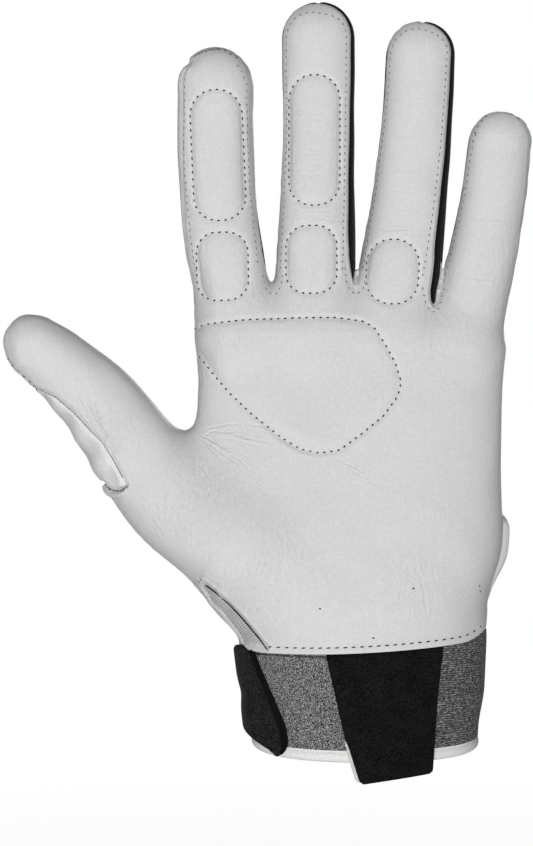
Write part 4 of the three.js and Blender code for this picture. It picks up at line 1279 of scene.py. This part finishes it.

# A near-continuous dark line of small stitches closes the flex insert, the index fingertip and the vent; at
# the vent it is partly stitching and partly painted shade for the gap under the palm leather's edge
FLEX_FOOT = ((-75.6, 76.2), (-73.9, 75.7), (-72.0, 75.8), (-70.4, 77.0))
FLEX_FOOT_RISE = 0.35
INSERT_PITCH = 1.1
flex_row = on_front(spaced(FLEX_LINE[1:], INSERT_PITCH))
tip_row = on_front(spaced(INDEX_TIP_LINE, INSERT_PITCH))
foot_place, foot_normal = on_front(spaced(FLEX_FOOT, INSERT_PITCH))
foot_row = (foot_place + FLEX_FOOT_RISE * foot_normal, foot_normal)
sew("insert_stitches", [flex_row, tip_row, foot_row], "glove", "white_leather", thread, 1.25, 0.3, 0.3)
# The vent's stitches overlap into one dark line: partly stitching, partly painted shade for the shadow under
# the palm leather's edge
vent_place_row, vent_normal_row = [steady(values) for values in on_front(spaced(vent_edge(), 0.7))]
vent_rise = np.linspace(*VENT_LINE_RISE, len(vent_place_row))[:, None]
vent_row = (vent_place_row + vent_rise * vent_normal_row, vent_normal_row)
sew("vent_stitches_and_edge_shade", [vent_row], "glove", "white_leather", thread, 1.3, 0.5, 0.5)

# Sparse stitches at the thumb tip and two fingertips, bar tacks of the insert, the vent and the wrist, and
# loose thread ends
TACKS = (
    ((-105.9, 115.0), (-104.4, 112.9), (-102.8, 111.4), (-101.2, 109.8), (-99.4, 108.2)),
    ((-98.3, 106.9), (-97.5, 105.9)), ((-77.3, 77.6), (-76.9, 77.2), (-76.4, 76.8), (-75.9, 76.4)),
    ((-48.7, 50.4), (-49.3, 49.6)), ((32.9, 48.3), (33.2, 46.6)),
    ((-14.1, 42.4),), ((12.9, 48.2),), ((1.3, 34.0),),
    ((-43.6, 206.6), (-41.9, 206.2), (-40.2, 205.0), (-38.4, 204.1)),
    ((35.6, 187.0), (34.2, 185.5), (33.1, 183.8), (32.3, 181.9), (31.7, 179.5)),
)
sew("tack_stitches", [on_front(row) for row in TACKS], "glove", "white_leather", thread, 0.75, 0.45, 0.36)

HEM_STITCH_RISE = 1.8
DART_ASIDE = 1.3
hem_x = np.linspace(-28.5, 33.5, 60)
hem_line = spaced(np.stack([hem_x, hem_height(hem_x) + HEM_STITCH_RISE], 1), 2.45)
sew("hem_stitches", [on_front(hem_line)], "glove", "white_leather", thread, 1.35, 0.42, 0.34, 0.12)

# Stitches on the back: beside each dart and along the hem
back_rows = [on_front(spaced(np.array(dart, float) + np.array([aside, 0]), 1.9), face=1)
             for dart in DARTS for aside in (-DART_ASIDE, DART_ASIDE)]
back_rows.append(on_front(hem_line, face=1))
sew("back_stitches", back_rows, "glove", "black_stretch", back_thread, 1.2, 0.4, 0.34)

# Cuff. A place on the wrist is an angle (180 thumb side, 270 palm side), a height and an offset outwards.
RIM_HALF = (33.6, 22.2)
WRIST_HALF = (36.2, 24.2)
WRIST_X = -1.2
WRIST_Z = 31
RIM_DIP = 2.6


def wrist_point(angle, z, offset):
    turn = np.radians(angle)
    taper = np.minimum(z / WRIST_Z, 1)
    across = np.sign(np.cos(turn)) * np.abs(np.cos(turn)) ** (2 / ROUNDNESS)
    through = np.sign(np.sin(turn)) * np.abs(np.sin(turn)) ** (2 / ROUNDNESS)
    half_width = RIM_HALF[0] + (WRIST_HALF[0] - RIM_HALF[0]) * taper + offset
    half_depth = RIM_HALF[1] + (WRIST_HALF[1] - RIM_HALF[1]) * taper + offset
    return np.stack([WRIST_X * taper + half_width * across, half_depth * through,
                     z + RIM_DIP * through * (1 - taper)], -1)


def palm_angle(x, z, offset):
    """Angle on the palm side where the wrist reaches x at a height."""
    taper = np.minimum(z / WRIST_Z, 1)
    half_width = RIM_HALF[0] + (WRIST_HALF[0] - RIM_HALF[0]) * taper + offset
    unit = np.clip((x - WRIST_X * taper) / half_width, -1, 1)
    return 360 - np.degrees(np.arccos(np.sign(unit) * np.abs(unit) ** (ROUNDNESS / 2)))


def grid(name, columns, rows_of_faces):
    """A flat sheet; gives the object and its points as shares from 0 to 1."""
    bpy.ops.object.select_all(action="DESELECT")
    bpy.ops.mesh.primitive_grid_add(x_subdivisions=columns, y_subdivisions=rows_of_faces, size=1)
    sheet = named(name)
    share = read_points(sheet) * MM + 0.5
    return sheet, share[:, 0], share[:, 1]


def merge(obj):
    edit(obj, (bpy.ops.mesh.remove_doubles, dict(threshold=0.01 * MM)),
         (bpy.ops.mesh.normals_make_consistent, dict(inside=False)))


def rounding(t, corner):
    """How far a rounded corner pulls an edge in, from 0 to 1, at shares up to the corner's size."""
    nip = np.clip((corner - t) / corner, 0, 1)
    return 1 - np.sqrt(1 - nip * nip)


BAND_LOW = 3.3
BAND_TOP = 37
TUCK_LEAN = 1.5
BAND_SWELL = 1.3
BAND_THICK = 1.4
band, s, t = grid("cuff_elastic", 180, 40)
z = BAND_LOW + (BAND_TOP - BAND_LOW) * t
swell = BAND_SWELL * smooth(5, 18, z) * np.maximum(np.cos(2 * math.pi * s), 0)
hem = hem_height(wrist_point(360 * s, z, 0)[:, 0])
write_points(band, wrist_point(360 * s, z, swell - TUCK_LEAN * smooth(hem - 1.2, hem + 1.5, z)))
merge(band)
thicken(band, BAND_THICK, offset=-1)
dress(band, "glove", "grey_elastic", elastic, stands_for=["cuff_band"])

# Binding: a folded tape round the rim, its profile going round from the inside to the outside
BINDING_HEIGHT = 3.7
BINDING_HALF = 1.15
BINDING_OUT = 0.25
FOLD_DEPTH = 0.5
FOLD_PLACE = 0.9
FOLD_REACH = 0.28
bind, s, t = grid("cuff_rim", 180, 40)
turn = 2 * math.pi * t
outward = np.cos(turn) * BINDING_HALF
rise = np.sin(turn)
height = BINDING_HALF + rise * np.where(rise < 0, BINDING_HALF, BINDING_HEIGHT - BINDING_HALF)
fold = FOLD_DEPTH * bell(height - BINDING_HEIGHT + FOLD_PLACE, FOLD_REACH) * (outward > 0)
write_points(bind, wrist_point(360 * s, height, BINDING_OUT - BINDING_HALF + outward - fold))
merge(bind)
finish_mesh(bind)
dress(bind, "glove", "white_binding", binding_tape, stands_for=["cuff_binding"])


TAB_LEFT = ((-9, -2.6), (5, -6.9), (20, -10.3), (29, -12.4))
TAB_RIGHT = ((-8, 18.2), (14, 19.6), (26, 20.7), (32, 21.7))


def on_curve(curve, z):
    places, values = zip(*curve)
    return np.interp(z, places, values)


# Loop pile, from under the strap to a little way under the tab
LOOP_TOP = 28.2
LOOP_START = 200
LOOP_UNDER_TAB = 6
LOOP_THICK = 0.6
loop, s, t = grid("loop_landing", 60, 44)
z = BAND_LOW + 0.1 + t * (LOOP_TOP - BAND_LOW)
end = palm_angle(on_curve(TAB_LEFT, z) + LOOP_UNDER_TAB, z, 0.5)
write_points(loop, wrist_point(LOOP_START + (end - LOOP_START) * s, z, 0.15))
thicken(loop, LOOP_THICK)
dress(loop, "glove", "grey_loop", loop_pile, stands_for=["loop_patch"])

# Closure strap in two lengths, each bending round one of its hinges
STRAP_BACK_X = 12
STRAP_TOP = 27.6
STRAP_LOW = 6.6
STRAP_BACK_LOW = 7.8
STRAP_JOIN = 162
STRAP_HINGE_ONE = 133
STRAP_THICK = 1.3
STRAP_EDGE = 0.35
STRAP_LIFT = 0.3
STRAP_OVER_LOOP = 1.1
STRAP_OUT = STRAP_OVER_LOOP + STRAP_LIFT
# Its end: heights of its corners, rounding of the lower one, bow of the upper edge, raised rim and groove
STRAP_TIP = (-0.4, 28.6)
STRAP_CORNER = 0.11
STRAP_CORNER_PULL = 2.0
STRAP_BOW = 2.3
RIM_RISE = 0.6
GROOVE_PLACE = 2.0
GROOVE_DEPTH = 0.9
PINCH_DEPTH = 0.7
# EDGE_SHADE_BAND is the width of that band of painted shade along the strap's end
EDGE_SHADE_BAND = 1.7
STRAP_ROUND = 190
STRAP_END = ((-0.8, -24.2), (3.0, -23.2), (7.1, -23.8), (12.3, -25.9), (17.9, -28.3), (24.6, -31.2),
             (29, -33.0))


def strap_offset(angle):
    return STRAP_LIFT + STRAP_OVER_LOOP * smooth(STRAP_HINGE_ONE, 208, angle)


def level_point(angle, z, offset):
    """A place on the wrist at a true height, without the dip of the rim."""
    place = wrist_point(angle, z, offset)
    place[:, 2] = z
    return place


hold, s, t = grid("strap_hold", 70, 18)
start = 360 - palm_angle(STRAP_BACK_X, STRAP_TOP, STRAP_LIFT)
angle = start + (STRAP_JOIN - start) * s
low = STRAP_BACK_LOW + (STRAP_LOW - STRAP_BACK_LOW) * s
write_points(hold, level_point(angle, low + (STRAP_TOP - low) * t, strap_offset(angle)))
thicken(hold, STRAP_THICK, bevel=STRAP_EDGE)

flap, s, t = grid("strap_flap", 160, 40)
tip_low, tip_top = STRAP_TIP
low = STRAP_LOW + (tip_low - STRAP_LOW) * np.clip((s - 0.25) / 0.75, 0, 1) ** 1.15
high = STRAP_TOP + (tip_top - STRAP_TOP) * s + STRAP_BOW * bell(s - 0.68, 0.2)
z = low + (high - low) * t
end = palm_angle(on_curve(STRAP_END, z) - STRAP_CORNER_PULL * rounding(t, STRAP_CORNER), z, STRAP_OUT)
angle = STRAP_JOIN + (end - STRAP_JOIN) * s
edge = (1 - s) * (end - STRAP_JOIN) / 360 * STRAP_ROUND
rim = RIM_RISE * bell(edge - 0.8, 0.7) - GROOVE_DEPTH * bell(edge - GROOVE_PLACE, 0.5)
pinch = PINCH_DEPTH * bell(z - 15.5, 3.5) * bell(angle - 186, 14)
write_points(flap, level_point(angle, z, strap_offset(angle) + rim - pinch))
thicken(flap, STRAP_THICK, bevel=STRAP_EDGE)

# A row of black stitches in the groove behind the strap's raised edge
groove_z = np.linspace(3.5, 27.5, 60)
groove_angle = palm_angle(on_curve(STRAP_END, groove_z), groove_z, STRAP_OUT)
groove_angle = groove_angle - GROOVE_PLACE / STRAP_ROUND * 360
groove = level_point(groove_angle, groove_z, strap_offset(groove_angle) + STRAP_THICK - 0.7)
groove = spaced(groove, 1.1)
outward = groove - np.array([WRIST_X, 0, 0])
outward[:, 2] = 0
outward /= np.linalg.norm(outward, axis=1)[:, None]
sew("strap_groove_stitches", [(groove, outward)], "strap_end", "black_strap", thread_and_edge_shade, 1.3, 0.7, 0.5)

# Along the strap's end a blacker band is laid on the bound rim: painted shade for the shadow at the strap's
# thick edge over the loop patch
middles = face_middles(flap)
edge_angle = palm_angle(on_curve(STRAP_END, middles[:, 2]), middles[:, 2], STRAP_OUT)
inset = (edge_angle - palm_angle(middles[:, 0], middles[:, 2], STRAP_OVER_LOOP + 1.0)) / 360 * STRAP_ROUND
edge_shade_faces = (inset < EDGE_SHADE_BAND) & (middles[:, 1] < 0)
flap.data.polygons.foreach_set("material_index", edge_shade_faces.astype(np.int32))

# Hook tape under the strap's end
HOOK_LOW = 8
HOOK_HEIGHT = 16.5
HOOK_START = 203
HOOK_INSET = 3.5
HOOK_THICK = 0.4
hook, s, t = grid("hook_landing", 24, 24)
z = HOOK_LOW + HOOK_HEIGHT * t
end = palm_angle(on_curve(STRAP_END, z) - HOOK_INSET, z, 1.2)
write_points(hook, wrist_point(HOOK_START + (end - HOOK_START) * s, z, 0.85))
thicken(hook, HOOK_THICK)
dress(hook, "strap_end", "black_strap", hook_tape, stands_for=["hook_patch"])

# Pull tab with its pale lining, tucked under the palm hem at the top
TAB_THICK = 1.2
TAB_EDGE = 0.25
FELT_THICK = 0.5
TAB_TUCK = 1.6
TAB_TUCK_RISE = 0.7
TAB_LINING_SHOWS = 1.1
TAB_LOW = -8.4
TAB_LOW_RISE = 2.8
TAB_START_X = -12.4
TAB_WIDTH = 34
TAB_CORNER = 0.035


def tab_sheet(name, inset, offset):
    sheet, s, t = grid(name, 48, 56)
    low = TAB_LOW + TAB_LOW_RISE * s + inset
    top = hem_height(TAB_START_X + TAB_WIDTH * s) + TAB_TUCK_RISE
    z = low + (top - low) * t
    left = on_curve(TAB_LEFT, z) + np.where(inset > 0, -TAB_LINING_SHOWS, 0.3) * smooth(5, 2, z) + inset
    right = on_curve(TAB_RIGHT, z) - inset
    pull = rounding(t, TAB_CORNER)
    x = left + pull + (right - left - 2 * pull) * s
    sway = 0.9 * smooth(3, -8, z) + 0.25 * np.sin(z / 5 + x / 9)
    out = offset + sway - TAB_TUCK * smooth(-2.6, 0.6, z - hem_height(x))
    write_points(sheet, level_point(palm_angle(x, z, out), z, out))
    return sheet


tab = tab_sheet("pull_tab_cloth", 0, 1.0)
thicken(tab, TAB_THICK, bevel=TAB_EDGE)
tab_felt = tab_sheet("pull_tab_felt", 0.3, 0.45)
thicken(tab_felt, FELT_THICK)

for piece, material, slot, node in ((tab, tab_cloth, "black_strap", "pull_tab"),
                                    (tab_felt, felt, "pale_lining", "pull_tab_lining")):
    dress(piece, None, slot, material, stands_for=[node])
    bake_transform(piece)


dress(hold, None, "black_strap", strap_cloth, stands_for=["strap_base"])
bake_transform(hold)
dress(flap, None, "black_strap", strap_cloth, thread_and_edge_shade, stands_for=["strap_wing", "strap_tip"])
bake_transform(flap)

# Foam pads and their backing cloth, inside the leather
PAD_UNDER = 1.25
PAD_SIDE_LIMIT = -45.5
PAD_FOAM = 1.9
PAD_INSET = 1.6
PAD_STEP = 2.2
BACKING_GAP = 0.3
BACKING_THICK = 0.5
for name in PAD_NAMES:
    outline = spaced(pad_outline(name, inset=PAD_INSET), PAD_STEP, closed=True)
    outline[:, 0] = np.maximum(outline[:, 0], PAD_SIDE_LIMIT)
    middle = outline.mean(0)
    rings = [0.0, 0.25, 0.5, 0.75, 0.9, 1.0]
    inner = np.concatenate([middle + (outline - middle) * share for share in rings[1:]])
    xz = np.concatenate([[middle], inner])
    place = np.array([tuple(shell.ray_cast((x, -RAY_START, z), (0, 1, 0))[0] or (x, -10, z)) for x, z in xz])
    count = len(outline)
    faces = [[0, 1 + i, 1 + (i + 1) % count] for i in range(count)]
    for ring in range(len(rings) - 2):
        a, b = 1 + ring * count, 1 + (ring + 1) * count
        faces += [[a + i, b + i, b + (i + 1) % count, a + (i + 1) % count] for i in range(count)]
    crown = np.concatenate([[1], np.repeat(np.sqrt(1 - np.array(rings[1:]) ** 4), count)])
    for piece_name, under, thick, material, slot, node in (
            (name + "_foam", PAD_UNDER, PAD_FOAM, foam, "grey_foam", name + "_pad"),
            (name + "_cloth", PAD_UNDER + PAD_FOAM + BACKING_GAP, BACKING_THICK, backing, "pale_backing",
             name + "_backing")):
        padded = piece_name.endswith("_foam")
        swell = (0.3 + 0.7 * crown) if padded else np.ones(len(place))
        upper, lower = place.copy(), place.copy()
        upper[:, 1] += under
        lower[:, 1] += under + thick * swell
        last = 1 + (len(rings) - 2) * count
        rim_loop = [[last + i, last + (i + 1) % count] for i in range(count)]
        total = len(place)
        solid = faces + [[v + total for v in face[::-1]] for face in faces]
        solid += [[b, a, a + total, b + total] for a, b in rim_loop]
        pad = new_mesh(piece_name, np.concatenate([upper, lower]), solid)
        merge(pad)
        finish_mesh(pad)
        dress(pad, "glove", slot, material, stands_for=[node])

# Stage: a pale flat floor, soft light from the front and behind, and a camera at the photograph's angle
FLOOR_Z = -90


def sees_background(material, ray):
    """1 for rays that should see the white background: from the camera, off gloss and through glass."""
    both = add(material, "Math", {"operation": "MAXIMUM"}, {0: ray.outputs["Is Camera Ray"],
                                                            1: ray.outputs["Is Glossy Ray"]}).outputs[0]
    return add(material, "Math", {"operation": "MAXIMUM"}, {0: both,
                                                            1: ray.outputs["Is Transmission Ray"]}).outputs[0]


bpy.ops.object.select_all(action="DESELECT")
bpy.ops.mesh.primitive_plane_add(size=4, location=(0, 0, FLOOR_Z * MM))
floor = named("floor")
pale = new_material("pale_floor")
lit = add(pale, "BsdfDiffuse", {}, {"Color": linear("#f4f4f2")})
glow = add(pale, "Emission", {}, {"Color": linear("#ffffff"), "Strength": 1.0})
ray = add(pale, "LightPath", {}, {})
ground = add(pale, "TexCoord", {}, {}).outputs["Object"]
wide = add(pale, "Mapping", {}, {"Vector": ground, "Scale": (2, 2, 2)}).outputs[0]
near = add(pale, "TexGradient", {"gradient_type": "SPHERICAL"}, {"Vector": wide}).outputs["Fac"]
far = add(pale, "MapRange", {}, {"Value": near, "To Min": 1.0, "To Max": 0.85}).outputs["Result"]
seen = add(pale, "Math", {"operation": "MULTIPLY"}, {0: sees_background(pale, ray), 1: far})
close(pale, add(pale, "MixShader", {}, {0: seen.outputs[0], 1: lit.outputs[0], 2: glow.outputs[0]}))
floor.data.materials.append(pale)

world = bpy.data.worlds.new("studio")
bpy.context.scene.world = world
world.use_nodes = True
world.node_tree.nodes.clear()
ray = add(world, "LightPath", {}, {})
room = add(world, "Background", {}, {"Color": linear("#ffffff"), "Strength": 0.1})
white = add(world, "Background", {}, {"Color": linear("#ffffff"), "Strength": 1.0})
both = add(world, "MixShader", {}, {0: sees_background(world, ray), 1: room.outputs[0], 2: white.outputs[0]})
add(world, "OutputWorld", {}, {"Surface": both.outputs[0]})

TARGET = np.array([-30, 0, 100]) * MM


def lamp(name, place, size, power):
    light = bpy.data.lights.new(name, "AREA")
    light.shape = "SQUARE"
    light.size = size
    light.energy = power
    obj = bpy.data.objects.new(name, light)
    bpy.context.scene.collection.objects.link(obj)
    obj.location = place
    away = TARGET - np.array(place)
    obj.rotation_euler = (math.acos(-away[2] / np.linalg.norm(away)), 0,
                          math.atan2(away[1], away[0]) - math.pi / 2)


lamp("key", (-0.13, -1.1, 0.02), 0.2, 9.1)
lamp("rear", (0.25, 1.1, 0.25), 0.4, 6)

camera_data = bpy.data.cameras.new("camera")
camera_data.sensor_width = 36
camera_data.lens = 92.2
camera = bpy.data.objects.new("camera", camera_data)
bpy.context.scene.collection.objects.link(camera)
camera.location = (-0.02955, -0.65, 0.096)
camera.rotation_euler = (math.pi / 2, 0, 0)
bpy.context.scene.camera = camera
bpy.context.scene.view_settings.view_transform = "Standard"
